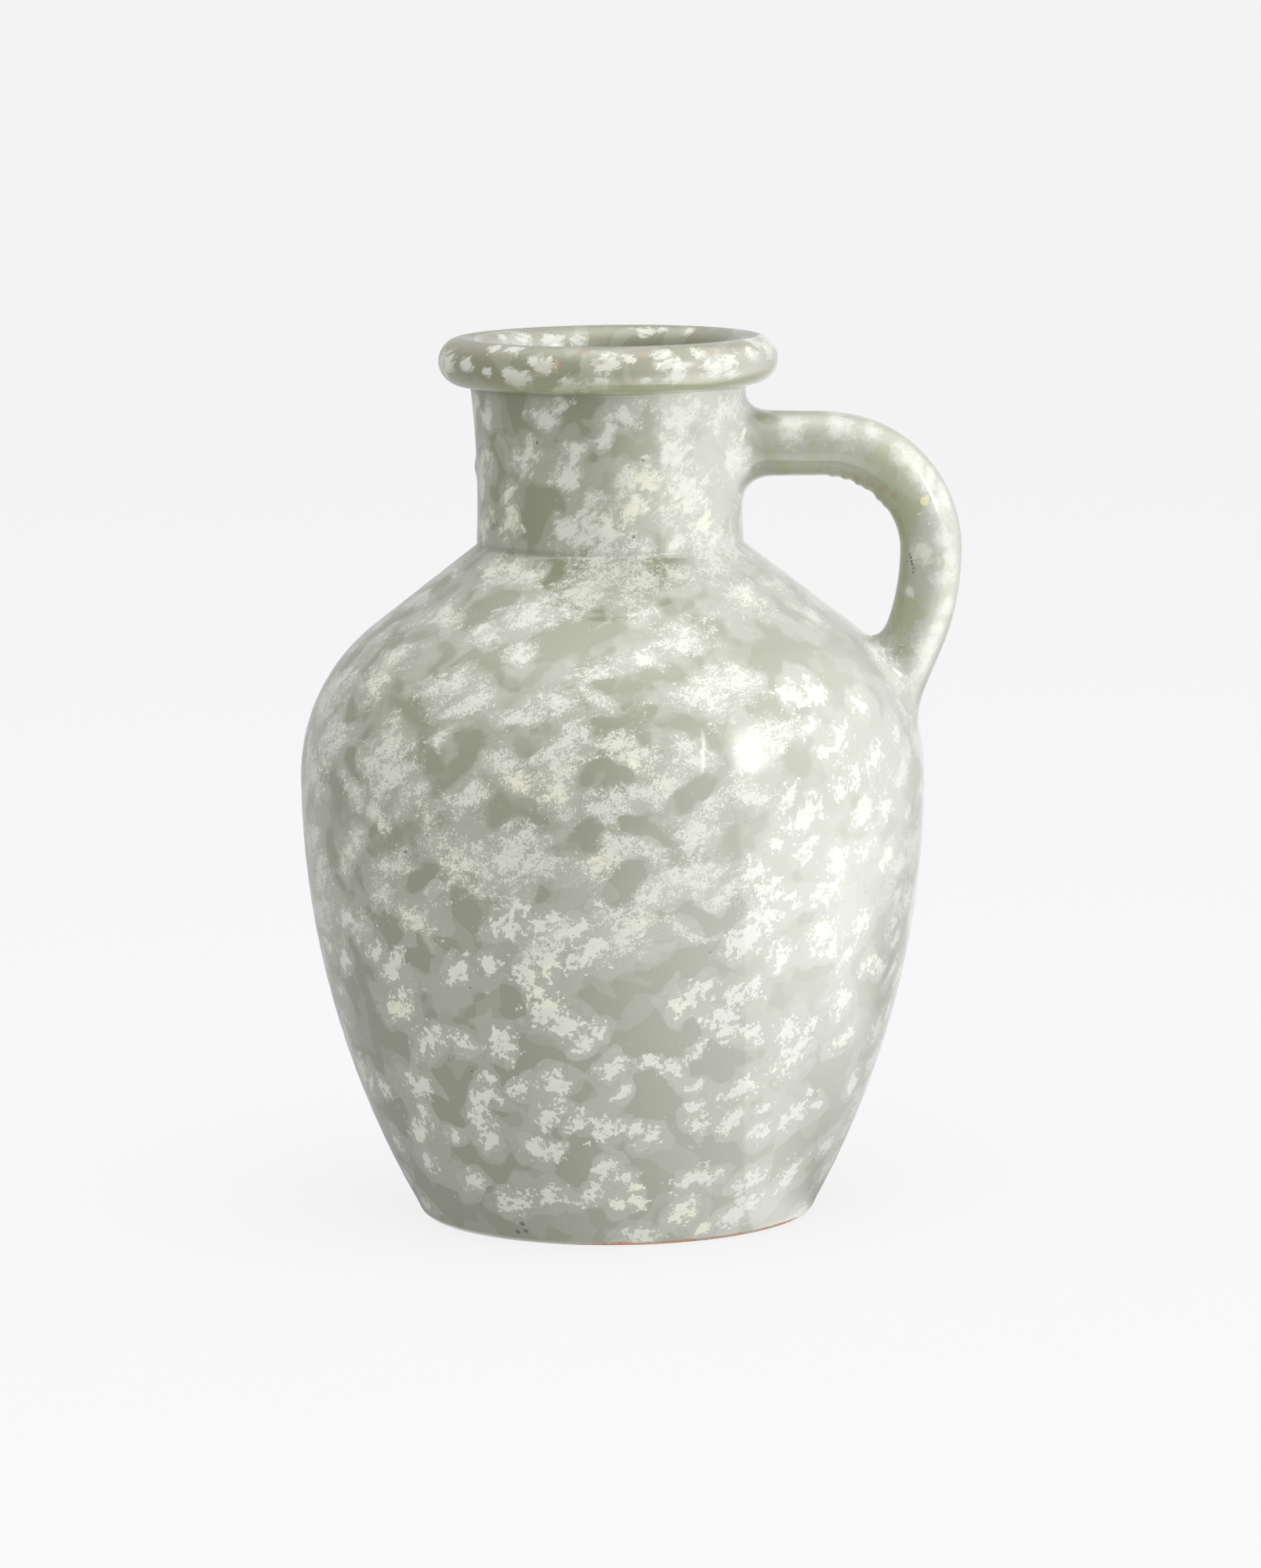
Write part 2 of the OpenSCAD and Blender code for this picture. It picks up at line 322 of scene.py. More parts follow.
@dataclass
class Weave:
    """Joins patches row to row into one closed mesh whose normals are those of the patches."""

    name: str
    patches: list[Patch]
    ends: Ends

    def build(self) -> Piece:
        """Numbers the shared rows once, makes the faces as whole arrays, and fills a mesh in metres.

        Returns:
            The new object, at the origin, linked to the scene.
        """
        columns = self.patches[0].points.shape[1]
        rows = [patch.points[:-1] for patch in self.patches]
        if self.ends is Ends.POLES:
            rows.append(self.patches[-1].points[-1:])
        rings = np.concatenate(rows)
        sizes = np.full(len(rings), columns)
        if self.ends is Ends.POLES:
            sizes[[0, -1]] = 1
        first = np.concatenate([[0], np.cumsum(sizes)[:-1]])
        column = np.arange(columns)
        number = first[:, None] + np.where(sizes[:, None] == 1, 0, column[None, :])
        points = np.concatenate([ring[:size] for ring, size in zip(rings, sizes)])

        quads, quad_normals = [], []
        low = 0
        for patch in self.patches:
            count = len(patch.points)
            ring = (low + np.arange(count)) % len(rings)
            after = (column + 1) % columns
            corner = number[ring]
            face = np.stack([corner[:-1], corner[:-1][:, after], corner[1:][:, after], corner[1:]], axis=-1)
            slant = patch.normals
            normal = np.stack([slant[:-1], slant[:-1][:, after], slant[1:][:, after], slant[1:]], axis=-2)
            quads.append(face.reshape(-1, 4))
            quad_normals.append(normal.reshape(-1, 4, 3))
            low += count - 1
        face = np.concatenate(quads)
        normal = np.concatenate(quad_normals)
        keep = np.ones(face.shape, dtype=bool)
        keep[:, 1] = face[:, 0] != face[:, 1]
        keep[:, 3] = face[:, 2] != face[:, 3]
        total = keep.sum(axis=1)

        mesh = bpy.data.meshes.new(self.name)
        mesh.vertices.add(len(points))
        mesh.vertices.foreach_set("co", (points * MILLI).astype(np.float32).ravel())
        mesh.loops.add(int(total.sum()))
        mesh.loops.foreach_set("vertex_index", face[keep].astype(np.int32))
        mesh.polygons.add(len(face))
        mesh.polygons.foreach_set("loop_start", np.concatenate([[0], np.cumsum(total)[:-1]]).astype(np.int32))
        mesh.polygons.foreach_set("use_smooth", np.ones(len(face), dtype=bool))
        mesh.update(calc_edges=True)
        mesh.validate()
        mesh.normals_split_custom_set(normal[keep].astype(np.float32))
        return put(self.name, mesh)


def bell(distance: Grid, width: float) -> Grid:
    """A bell curve: one at no distance, falling to a third at one width."""
    return np.exp(-((distance / width) ** 2))


def step_between(value: Grid, low: Union[Grid, float], high: Union[Grid, float]) -> Grid:
    """Zero below low and one above high, with a smooth rise between."""
    share = np.clip((value - low) / (high - low), 0.0, 1.0)
    return share * share * (3 - 2 * share)


class Ramp(NamedTuple):
    """The two ends of a smooth step, of which the low one may be the larger number, and the step's rise."""

    low: float
    high: float
    rise: float = 1.0

    def of(self, value: Grid) -> Grid:
        """Zero at the low end and the rise at the high end."""
        return self.rise * step_between(value, self.low, self.high)


class Band(NamedTuple):
    """A smooth step up and a smooth step down after it."""

    start: Ramp
    end: Ramp

    def of(self, value: Grid) -> Grid:
        """One between the steps, zero outside them."""
        return self.start.of(value) * (1 - self.end.of(value))


class Ridge(NamedTuple):
    """A line that stands out of a surface, or is pressed in where its rise is below zero."""

    place: float
    rise: float
    width: float

    def of(self, distance: Grid) -> Grid:
        """Its rise at distances measured from where its place is: a bell curve."""
        return self.rise * bell(distance - self.place, self.width)


class Wave(NamedTuple):
    """A sine wave over the way round and the way along a piece.

    Waves is their number in one round, and run the length for one radian.
    """

    rise: float
    waves: float
    run: float = math.inf
    start: float = 0.0

    def of(self, angle: Grid, along: Grid) -> Grid:
        """Its rise at angles in radians and lengths in millimetres."""
        return self.rise * np.sin(self.waves * angle + along / self.run + self.start)


@dataclass
class ThrownBody:
    """The turned pieces: foot slab, lower wall, shoulder wall, neck and rolled rim.

    The neck's crease is placed from the neck's foot up, and the rim's creases from the rim's seam on
    along the outline. Each throwing ring has a wobble, which bends it out of an even spiral.
    """

    outline: Outline
    columns: int = 480
    slab_step: float = 6.0
    fine_step: float = 0.7
    wall_step: float = 1.25
    neck_step: float = 0.8
    inner_step: float = 4.0
    heel_run: float = 12.0
    skin: float = 0.32
    rings: tuple[Wave, Wave] = (Wave(0.025, 1, 8.6 / TURN), Wave(0.0175, 1, 13.7 / TURN, -1.3))
    ring_wobbles: tuple[Wave, Wave] = (Wave(0.5, 2), Wave(0.4, 3))
    slow_waves: tuple[Wave, Wave] = (Wave(0.05, 2, 47.0), Wave(0.03, 3, -31.0, 1.0))
    calm: Ramp = Ramp(226.0, 242.0, 0.6)
    turning_line: Ridge = Ridge(66.0, -0.16, 0.9)
    turning_sway: Wave = Wave(0.6, 1)
    lump: Ridge = Ridge(264.0, 0.9, 3.2)
    lump_half: float = 5.0
    neck_crease: Ridge = Ridge(0.4, -0.3, 0.8)
    rim_creases: tuple[Ridge, Ridge] = (Ridge(2.0, -0.35, 0.7), Ridge(5.4, -0.18, 0.6))
    foot_ramp: Ramp = Ramp(0.6, 6.0)
    mouth_run: float = 14.0
    mouth_end: float = 1.0
    made: dict[str, Piece] = field(default_factory=dict)

    def relief(self, angle: Grid, length: Grid) -> Grid:
        """How far the thrown surface stands off the plain outline.

        It is a thin skin inwards, plus the spiral of the throwing rings, plus slow waves round the
        pot, plus a turning line low on the belly, a lump on the neck and creases at two seams. It
        fades to nothing under the foot and inside the mouth.

        Args:
            angle: Angles round the axis, as a row.
            length: Lengths along the outline, as a column.

        Returns:
            Offsets along the outward direction, in millimetres.
        """
        line = self.outline
        radius, height = line.at(length)
        wobbled = [angle + wobble.of(angle, length) for wobble in self.ring_wobbles]
        rings = sum(ring.of(way, length) for ring, way in zip(self.rings, wobbled))
        slow = sum(wave.of(angle, height) for wave in self.slow_waves)
        off = rings * (1 - self.calm.of(height)) + slow - self.skin
        off = off + self.turning_line.of(height - self.turning_sway.of(angle, height))
        off = off + self.lump.of(height) * bell((angle - math.pi) * radius, self.lump_half)
        off = off + self.neck_crease.of(height - line.sizes.neck_z)
        off = off + sum(crease.of(length - line.rim_seam[0]) for crease in self.rim_creases)
        mouth = Ramp(line.rim_top + self.mouth_run, line.rim_seam[1] - self.mouth_end)
        return off * self.foot_ramp.of(height) * (1 - mouth.of(length))

    def turn(self, length: Grid) -> Grid:
        """Rows of the turned surface: the outline at each length, moved by the relief, spun round the axis.

        Args:
            length: Lengths along the outline, one a row.

        Returns:
            A grid of points, rows along the outline and columns round the axis.
        """
        angle = (np.arange(self.columns) * TURN / self.columns)[None, :]
        radius, height = (part[:, None] for part in self.outline.at(length))
        out, up = (part[:, None] for part in self.outline.facing(length))
        off = self.relief(angle, length[:, None])
        spread = np.maximum(radius + out * off, 0.0) * (radius > 0)
        return round_axis(spread, angle, height + up * off)

    def face(self, start: float, end: float, step: float) -> Patch:
        """The turned surface between two lengths along the outline."""
        count = max(3, int(abs(end - start) / step) + 1)
        return lay_patch(self.turn, np.linspace(start, end, count))

    def bevel(self, start: float, end: float) -> Patch:
        """A luted seam's slope: straight between the turned surface at two lengths."""
        return ruled(*self.turn(np.array([start, end])))

    def wall(self, name: str, low: Pair, high: Pair, step: float) -> None:
        """One ring of wall between two seams: out face, top slope, inner face and bottom slope.

        Args:
            name: Name of the piece.
            low: Outer and inner length of the seam below.
            high: Outer and inner length of the seam above.
            step: Distance between the rows outside.
        """
        patches = [
            self.face(low[0], high[0], step),
            self.bevel(high[0], high[1]),
            self.face(high[1], low[1], self.inner_step),
            self.bevel(low[1], low[0]),
        ]
        self.made[name] = Weave(name, patches, Ends.LOOP).build()

    def build(self) -> dict[str, Piece]:
        """Builds the five turned pieces from the foot up.

        Returns:
            The pieces by name.
        """
        line = self.outline
        seam_out, seam_in = line.base_seam
        heel = seam_out - self.heel_run
        slab = [
            self.face(0.0, heel, self.slab_step),
            self.face(heel, seam_out, self.fine_step),
            self.bevel(seam_out, seam_in),
            self.face(seam_in, float(line.length[-1]), self.slab_step),
        ]
        self.made["foot_slab"] = Weave("foot_slab", slab, Ends.POLES).build()
        self.wall("lower_wall", line.base_seam, line.belly_seam, self.wall_step)
        self.wall("shoulder_wall", line.belly_seam, line.neck_seam, self.wall_step)
        self.wall("neck_wall", line.neck_seam, line.rim_seam, self.neck_step)
        rim_out, rim_in = line.rim_seam
        roll = [self.face(rim_out, rim_in, self.fine_step), self.bevel(rim_in, rim_out)]
        self.made["rolled_rim"] = Weave("rolled_rim", roll, Ends.LOOP).build()
        return self.made


class HandlePath:
    """Middle line of the strap: along +X from the axis, round the bend, down the sweep, then straight on."""

    HIT_STEPS = 4000
    LINE_STEPS = 200

    def __init__(self, outline: Outline) -> None:
        """Works out the stretches of the line and where it runs into the neck and the shoulder.

        Args:
            outline: The vase's outline.
        """
        v = self.sizes = outline.sizes
        self.outline = outline
        self.top_z = v.neck_z + v.handle_rise
        self.top_run = v.handle_reach - v.bend_r
        self.sweep_s = self.top_run + v.bend_r * math.pi / 2
        self.straight_s = self.sweep_s + v.sweep_r * math.radians(v.sweep_turn)
        self.upper_hit = float(outline.wall_r(np.array(self.top_z)))
        reach = np.linspace(self.sweep_s, self.straight_s + v.belly_r / 2, self.HIT_STEPS)
        x, z = self.at(reach)
        self.lower_hit = float(reach[np.argmax(x < outline.wall_r(z))])
        self.start = self.upper_hit + v.upper_lug_l
        self.end = self.lower_hit - v.lower_lug_l

    def bends(self, s: Grid) -> tuple[Grid, Grid]:
        """Angles in radians turned at length s, in the bend and in the sweep: length over radius.

        Args:
            s: Lengths along the line.

        Returns:
            The two angles.
        """
        v = self.sizes
        bend = np.clip(s - self.top_run, 0.0, v.bend_r * math.pi / 2) / v.bend_r
        sweep = np.clip(s - self.sweep_s, 0.0, v.sweep_r * math.radians(v.sweep_turn)) / v.sweep_r
        return bend, sweep

    def turned(self, s: Grid) -> Grid:
        """Angle in radians that the line has turned down by at length s."""
        return sum(self.bends(s))

    def at(self, s: Grid) -> tuple[Grid, Grid]:
        """X and Z of the line at length s.

        Args:
            s: Lengths along the line.

        Returns:
            The two coordinates: the straight parts by length, the bends by sine and cosine of the turn.
        """
        v = self.sizes
        bend, sweep = self.bends(s)
        past = np.maximum(s - self.straight_s, 0.0)
        end = math.pi / 2 + math.radians(v.sweep_turn)
        bend_x = np.minimum(s, self.top_run) + v.bend_r * np.sin(bend)
        x = bend_x - v.sweep_r * (1 - np.cos(sweep)) + past * math.cos(end)
        z = self.top_z - v.bend_r * (1 - np.cos(bend)) - v.sweep_r * np.sin(sweep) - past * math.sin(end)
        return x, z

    def beside(self, s: Grid, across: Grid, above: Grid) -> Grid:
        """Points at lengths s, that far to the side of the line and out from it."""
        (x, z), turn = self.at(s), self.turned(s)
        return np.stack([x + np.sin(turn) * above, across, z + np.cos(turn) * above], axis=-1)

    def gap(self, points: Grid) -> Grid:
        """How far points lie outside the strap: its superellipse's sum of powers, less one.

        Args:
            points: Points with X, Y and Z on the last axis.

        Returns:
            Below zero inside the strap and above zero outside it.
        """
        v = self.sizes
        x, z = self.at(np.linspace(self.upper_hit, self.lower_hit, self.LINE_STEPS))
        off = np.hypot(points[..., 0, None] - x, points[..., 2, None] - z).min(axis=-1)
        across = np.abs(points[..., 1]) / (v.strap_w / 2)
        return across**v.strap_power + (off / (v.strap_t_end / 2)) ** v.strap_power - 1


@dataclass
class PulledHandle:
    """The strap and its two roots, each a rounded section carried along the handle's middle line.

    Spread is how far a root flares on its outer side and on its finger side. A root's lines are found
    by halving a range, end a seat under the wall, and are then tucked further in.
    """

    path: HandlePath
    columns: int = 144
    row_step: float = 1.1
    skin: float = 0.22
    pull_waves: tuple[Wave, Wave] = (Wave(0.07, 2, 9.0), Wave(0.049, -3, 5.3, 1.0))
    wiped_angle: float = -1.9
    wiped_width: float = 0.45
    wiped_lumps: tuple[Ridge, ...] = (
        Ridge(80.0, 0.45, 2.0), Ridge(86.0, 0.6, 2.0), Ridge(92.5, 0.85, 2.0),
        Ridge(97.0, 0.6, 2.0), Ridge(105.0, 0.75, 2.0), Ridge(109.5, 0.5, 2.0),
    )
    upper_spread: Pair = (7.0, 11.0)
    lower_spread: Pair = (6.0, 10.0)
    fillet_reach: float = 11.0
    fillet_share: float = 0.85
    farthest: float = 60.0
    halvings: int = 30
    seat_depth: float = 0.3
    tuck_run: float = 0.9
    tuck_depth: float = 1.2
    straight_rows: int = 8
    flare_rows: int = 26
    made: dict[str, Piece] = field(default_factory=dict)

    @property
    def angle(self) -> Grid:
        """Angles round the section, from the strap's side towards its outer face."""
        return np.arange(self.columns) * TURN / self.columns

    def relief(self, s: Grid) -> Grid:
        """How far the strap stands off its plain section.

        It is a thin skin inwards, plus slow waves left by the pulling hand, plus a few lumps where the
        inner edge of the bend was wiped.

        Args:
            s: Lengths along the path, rows by columns.

        Returns:
            Offsets away from the section's middle.
        """
        angle = self.angle[None, :]
        off = sum(wave.of(angle, s) for wave in self.pull_waves) - self.skin
        under = bell(np.angle(np.exp(1j * (angle - self.wiped_angle))), self.wiped_width)
        return off + under * sum(lump.of(s) for lump in self.wiped_lumps)

    def ring(self, s: Grid) -> Grid:
        """Points of the section at lengths along the path.

        Each is a superellipse of the strap's width and thickness, the thickness thinning evenly from
        neck to belly, grown by the relief, in the plane across the path.

        Args:
            s: Lengths along the path, rows by columns, or rows by one.

        Returns:
            A grid of points.
        """
        v = self.path.sizes
        power = 2 / v.strap_power
        cosine, sine = np.cos(self.angle[None, :]), np.sin(self.angle[None, :])
        s = np.broadcast_to(s, (s.shape[0], self.columns))
        share = np.clip((s - self.path.upper_hit) / (self.path.lower_hit - self.path.upper_hit), 0.0, 1.0)
        thick = v.strap_t_top + share * (v.strap_t_end - v.strap_t_top)
        across = v.strap_w / 2 * np.sign(cosine) * np.abs(cosine) ** power
        above = thick / 2 * np.sign(sine) * np.abs(sine) ** power
        grow = 1 + self.relief(s) / np.hypot(across, above)
        return self.path.beside(s, across * grow, above * grow)

    def strap(self) -> None:
        """The strap between its roots: the section along the path, with a flat cap at each end."""
        start, end = self.path.start, self.path.end
        stops = np.linspace(start, end, int((end - start) / self.row_step))
        tube = lay_patch(lambda s: self.ring(s[:, None]), stops)
        self.made["strap"] = Weave("strap", capped(tube), Ends.POLES).build()

    def gap(self, points: Grid) -> Grid:
        """Gap between points and the vase's wall, level with each point."""
        return np.hypot(points[..., 0], points[..., 1]) - self.path.outline.wall_r(points[..., 2])

    def on_wall(self, points: Grid, depth: float) -> Grid:
        """Points moved level, towards or away from the axis, to a depth under the wall."""
        radius = self.path.outline.wall_r(points[..., 2]) - depth
        scale = radius / np.hypot(points[..., 0], points[..., 1])
        return np.stack([points[..., 0] * scale, points[..., 1] * scale, points[..., 2]], axis=-1)

    def meeting(self, joint: float, way: float) -> Grid:
        """How far each line of the section runs from a joint to the wall, found by halving a range.

        Args:
            joint: Length along the path at which the strap ends.
            way: 1 where the wall lies on along the path, and -1 where it lies back.

        Returns:
            One row of lengths.
        """
        near, far = np.zeros((1, self.columns)), np.full((1, self.columns), self.farthest)
        for _ in range(self.halvings):
            middle = (near + far) / 2
            free = self.gap(self.ring(joint + way * middle)) > 0
            near, far = np.where(free, middle, near), np.where(free, far, middle)
        return far

    def landing(self, meet: Grid, outward: Grid, spread: Pair) -> tuple[Grid, Grid]:
        """Where a root's lines end on the wall, and where they are tucked under it.

        Each line goes on along the wall by the spread on its side, in the outward direction less its
        part along the wall's normal.

        Args:
            meet: Points where the plain strap would meet the wall.
            outward: Directions from the strap's middle to these points.
            spread: How far the root spreads on the outer side and on the finger side.

        Returns:
            The ends on the wall and the tucked points.
        """
        wall_r = self.path.outline.wall_r
        slope = wall_r(meet[:, 2] + 0.5) - wall_r(meet[:, 2] - 0.5)
        round_r = np.hypot(meet[:, 0], meet[:, 1])
        wall_n = unit(np.stack([meet[:, 0] / round_r, meet[:, 1] / round_r, -slope], axis=-1))
        along = unit(outward - (outward * wall_n).sum(-1, keepdims=True) * wall_n)
        side = (spread[0] + spread[1]) / 2 + np.sin(self.angle) * (spread[0] - spread[1]) / 2
        land = self.on_wall(meet + along * side[:, None], self.seat_depth)
        return land, self.on_wall(land + along * self.tuck_run, self.tuck_depth)

    def root(self, name: str, joint: float, way: float, spread: Pair) -> None:
        """A root that flares from the strap's end onto the wall.

        Each line runs along the path until a reach short of the wall, then follows a parabola whose
        control point is where it would meet the wall and whose end lies on the wall, outwards by the
        spread. The last row is tucked under the wall's surface.

        Args:
            name: Name of the piece.
            joint: Length along the path at which the strap ends.
            way: 1 where the wall lies on along the path, and -1 where it lies back.
            spread: How far it spreads on the outer side and on the finger side.
        """
        far = self.meeting(joint, way)
        leave = far - np.minimum(self.fillet_reach, self.fillet_share * far)
        start, meet = (self.ring(joint + way * run)[0] for run in (leave, far))
        none = np.zeros(self.columns)
        outward = unit(meet - self.path.beside(joint + way * far[0], none, none))
        land, tuck = self.landing(meet, outward, spread)

        def surface(row: Grid) -> Grid:
            """Rows 0 to 1 run along the path, 1 to 2 along the parabola, and 2 to 3 under the wall."""
            k = row[:, None]
            straight = self.ring(joint + way * leave * np.minimum(k, 1.0))
            t = np.clip(k - 1.0, 0.0, 1.0)[..., None]
            curve = (1 - t) ** 2 * start + 2 * t * (1 - t) * meet + t**2 * land
            under = land + np.clip(k - 2.0, 0.0, 1.0)[..., None] * (tuck - land)
            return np.where(k[..., None] <= 1.0, straight, np.where(k[..., None] <= 2.0, curve, under))

        straight_part = np.linspace(0, 1, self.straight_rows)[:-1]
        flare_part = np.linspace(1, 2, self.flare_rows)[:-1]
        patches = capped(lay_patch(surface, np.concatenate([straight_part, flare_part, [2.0, 3.0]])))
        if way < 0:
            patches = [Patch(p.points[::-1], -p.normals[::-1]) for p in reversed(patches)]
        self.made[name] = Weave(name, patches, Ends.POLES).build()

    def build(self) -> dict[str, Piece]:
        """Builds the strap and its two roots.

        Returns:
            The pieces by name.
        """
        self.strap()
        self.root("neck_root", self.path.start, -1.0, self.upper_spread)
        self.root("shoulder_root", self.path.end, 1.0, self.lower_spread)
        return self.made


@dataclass(frozen=True)
class PhotoView:
    """The camera at the photograph's viewing angle, in metres and degrees."""

    wide_px: float = 1609.0
    high_px: float = 2000.0
    lens: float = 159.1
    sensor: float = 36.0
    away: float = 2.416
    height: float = 0.489
    pitch: float = 7.95
    roll: float = 0.59
    turn: float = 4.0
    aside: float = 0.0062
    sees_to: float = 200.0

    def matrix(self) -> Matrix:
        """The camera's place and direction."""
        turn = math.radians(self.turn)
        place = (
            self.away * math.sin(turn) + self.aside * math.cos(turn),
            -self.away * math.cos(turn) + self.aside * math.sin(turn),
            self.height,
        )
        aim = Matrix.Rotation(turn, 4, "Z") @ Matrix.Rotation(math.radians(90 - self.pitch), 4, "X")
        return Matrix.Translation(place) @ aim @ Matrix.Rotation(math.radians(-self.roll), 4, "Z")

    def rays(self, across_px: Grid, down_px: Grid) -> tuple[Grid, Grid]:
        """Lines of sight through pixels of the photograph.

        Args:
            across_px: Pixels from the photograph's left side.
            down_px: Pixels from its top.

        Returns:
            The camera's place in millimetres and one direction for each pixel.
        """
        matrix = np.array(self.matrix())
        focal_px = self.lens / self.sensor * self.high_px
        sight = np.stack([
            (across_px - self.wide_px / 2) / focal_px,
            (self.high_px / 2 - down_px) / focal_px,
            -np.ones_like(across_px),
        ], axis=-1)
        return matrix[:3, 3] / MILLI, unit(sight @ matrix[:3, :3].T)

    def build(self) -> None:
        """Makes the camera and hands it to the scene."""
        data = bpy.data.cameras.new("camera")
        data.lens = self.lens
        data.sensor_width = self.sensor
        data.clip_end = self.sees_to
        camera = put("camera", data)
        camera.matrix_world = self.matrix()
        bpy.context.scene.camera = camera


class Touch(Enum):
    """Kinds of touch: dab, stippled cloud, feathered patch, rim fleck, place kept clear, worn place."""

    DAB = "dab"
    CLOUD = "cloud"
    FEATHER = "feather"
    FLECK = "fleck"
    CLEAR = "clear"
    WEAR = "wear"

    @property
    def lean_deg(self) -> float:
        """Climb of the sponge's stroke: steep on the neck, flatter on the belly, level on the rim."""
        return {Touch.FEATHER: 38.0, Touch.CLOUD: 16.0, Touch.DAB: 30.0}.get(self, 0.0)

    @property
    def sway_share(self) -> float:
        """How far the touch is drawn out of round: most on the shoulder, not at all on the rim."""
        return {Touch.CLOUD: 1.0, Touch.CLEAR: 1.0, Touch.DAB: 0.45, Touch.FEATHER: 0.45}.get(self, 0.0)


class Flaw(Enum):
    """Kinds of small spot in the glaze: dark pits and cracks, raised beads and drips."""

    PIT = "pit"
    BEAD = "bead"


class Ground(Enum):
    """What a sketch's touches lie on: the wall, the strap's near side, or the far wall inside the mouth."""

    WALL = "wall"
    STRAP = "strap"
    MOUTH = "mouth"


# One touch noted: pixels across, pixels down and reach, on an enlargement of the photograph.
Mark = tuple[float, float, float]


@dataclass(frozen=True)
class Sketch:
    """The touches of one kind in one corner of the photograph, enlarged by the zoom."""

    kind: Union[Touch, Flaw]
    marks: tuple[Mark, ...]
    left_px: float = 0.0
    top_px: float = 0.0
    zoom: float = 1.0
    ground: Ground = Ground.WALL


LOW_DABS = Sketch(Touch.DAB, left_px=400, top_px=1150, zoom=1.8, marks=(
    (80, 40, 30), (180, 150, 30), (195, 245, 38), (330, 165, 30), (410, 145, 22), (437, 62, 34),
    (455, 28, 28), (530, 55, 26), (590, 72, 30), (630, 122, 32), (655, 100, 24), (485, 160, 32),
    (530, 138, 34), (530, 252, 38), (512, 205, 24), (270, 320, 38), (345, 330, 24), (435, 335, 34),
    (585, 285, 30), (625, 328, 22), (655, 305, 18), (870, 215, 34), (985, 210, 36), (1000, 75, 40),
    (1075, 135, 28), (1170, 85, 34), (1215, 235, 32), (930, 270, 36), (955, 300, 28), (890, 330, 22),
    (1010, 305, 26), (1090, 295, 30), (1145, 280, 20), (1095, 360, 40), (1215, 320, 26), (240, 425, 36),
    (250, 470, 20), (385, 450, 28), (405, 405, 18), (475, 430, 24), (555, 415, 28), (690, 390, 24),
    (710, 445, 20), (770, 365, 20), (820, 385, 28), (880, 420, 18), (985, 430, 32), (1040, 470, 18),
    (1115, 480, 34), (1160, 465, 20), (245, 525, 32), (325, 540, 18), (380, 490, 26), (405, 545, 28),
    (540, 495, 26), (610, 505, 24), (670, 525, 34), (735, 525, 18), (775, 540, 24), (875, 475, 20),
    (885, 515, 24), (960, 500, 24), (1020, 530, 26), (515, 568, 30), (555, 578, 24), (670, 610, 24),
    (715, 632, 18), (738, 655, 18), (455, 690, 34), (550, 672, 28), (640, 672, 28), (740, 688, 22),
    (700, 697, 18), (865, 635, 30), (900, 632, 28), (1005, 640, 28), (1095, 630, 34), (845, 712, 32),
    (975, 715, 40), (895, 750, 22), (745, 770, 28), (1240, 420, 24), (1290, 300, 24), (140, 120, 26),
    (155, 420, 26), (265, 600, 26), (365, 640, 26), (1180, 560, 24), (1300, 150, 24), (70, 130, 24),
))
HIGH_CLOUDS = Sketch(Touch.CLOUD, left_px=370, top_px=690, zoom=2.2, marks=(
    (560, 85, 58), (645, 95, 62), (820, 135, 100), (900, 65, 90), (990, 110, 80), (1190, 60, 80),
    (1285, 160, 80), (430, 215, 80), (540, 245, 66), (690, 190, 80), (970, 190, 85), (1100, 270, 75),
    (1000, 330, 38), (300, 320, 58), (240, 410, 74), (430, 410, 66), (520, 440, 66), (645, 325, 50),
    (860, 385, 70), (880, 440, 60), (745, 465, 62), (640, 490, 50), (800, 540, 58), (430, 555, 42),
    (285, 655, 54), (280, 560, 70), (600, 630, 70), (510, 700, 46), (640, 680, 54), (750, 690, 78),
    (860, 745, 50), (935, 745, 45), (1040, 700, 60), (960, 620, 60), (1110, 590, 60), (470, 880, 105),
    (640, 850, 90), (480, 940, 75), (700, 900, 65), (860, 900, 65), (1000, 870, 80), (1140, 810, 80),
    (1110, 950, 75), (880, 1010, 40), (1000, 1010, 60), (1200, 1010, 55), (1270, 700, 62), (1170, 430, 80),
    (1280, 390, 70), (190, 710, 55), (250, 780, 45), (290, 910, 55), (180, 850, 50), (260, 985, 55),
    (170, 1070, 55), (350, 1060, 60), (960, 1095, 80), (1140, 1080, 60), (120, 560, 60), (350, 700, 60),
    (740, 1120, 50), (1370, 546, 66), (1290, 600, 50), (915, 570, 50),
))
RIGHT_DABS = Sketch(Touch.DAB, left_px=780, top_px=840, zoom=2.2, marks=(
    (510, 100, 46), (565, 90, 44), (640, 235, 40), (605, 262, 26), (740, 270, 46), (700, 130, 36),
    (680, 330, 36), (540, 440, 46), (500, 390, 32), (710, 430, 42), (640, 370, 32), (770, 420, 36),
    (460, 520, 26), (545, 540, 32), (640, 560, 42), (625, 640, 42), (400, 600, 38), (450, 660, 42),
    (520, 680, 30), (577, 670, 30), (715, 545, 32), (770, 560, 28), (420, 760, 46), (580, 770, 32),
    (700, 740, 32), (790, 750, 26), (370, 800, 40), (620, 810, 28), (655, 845, 28), (820, 300, 24),
    (835, 430, 22), (470, 830, 30), (720, 860, 30), (560, 190, 26), (800, 200, 30),
))
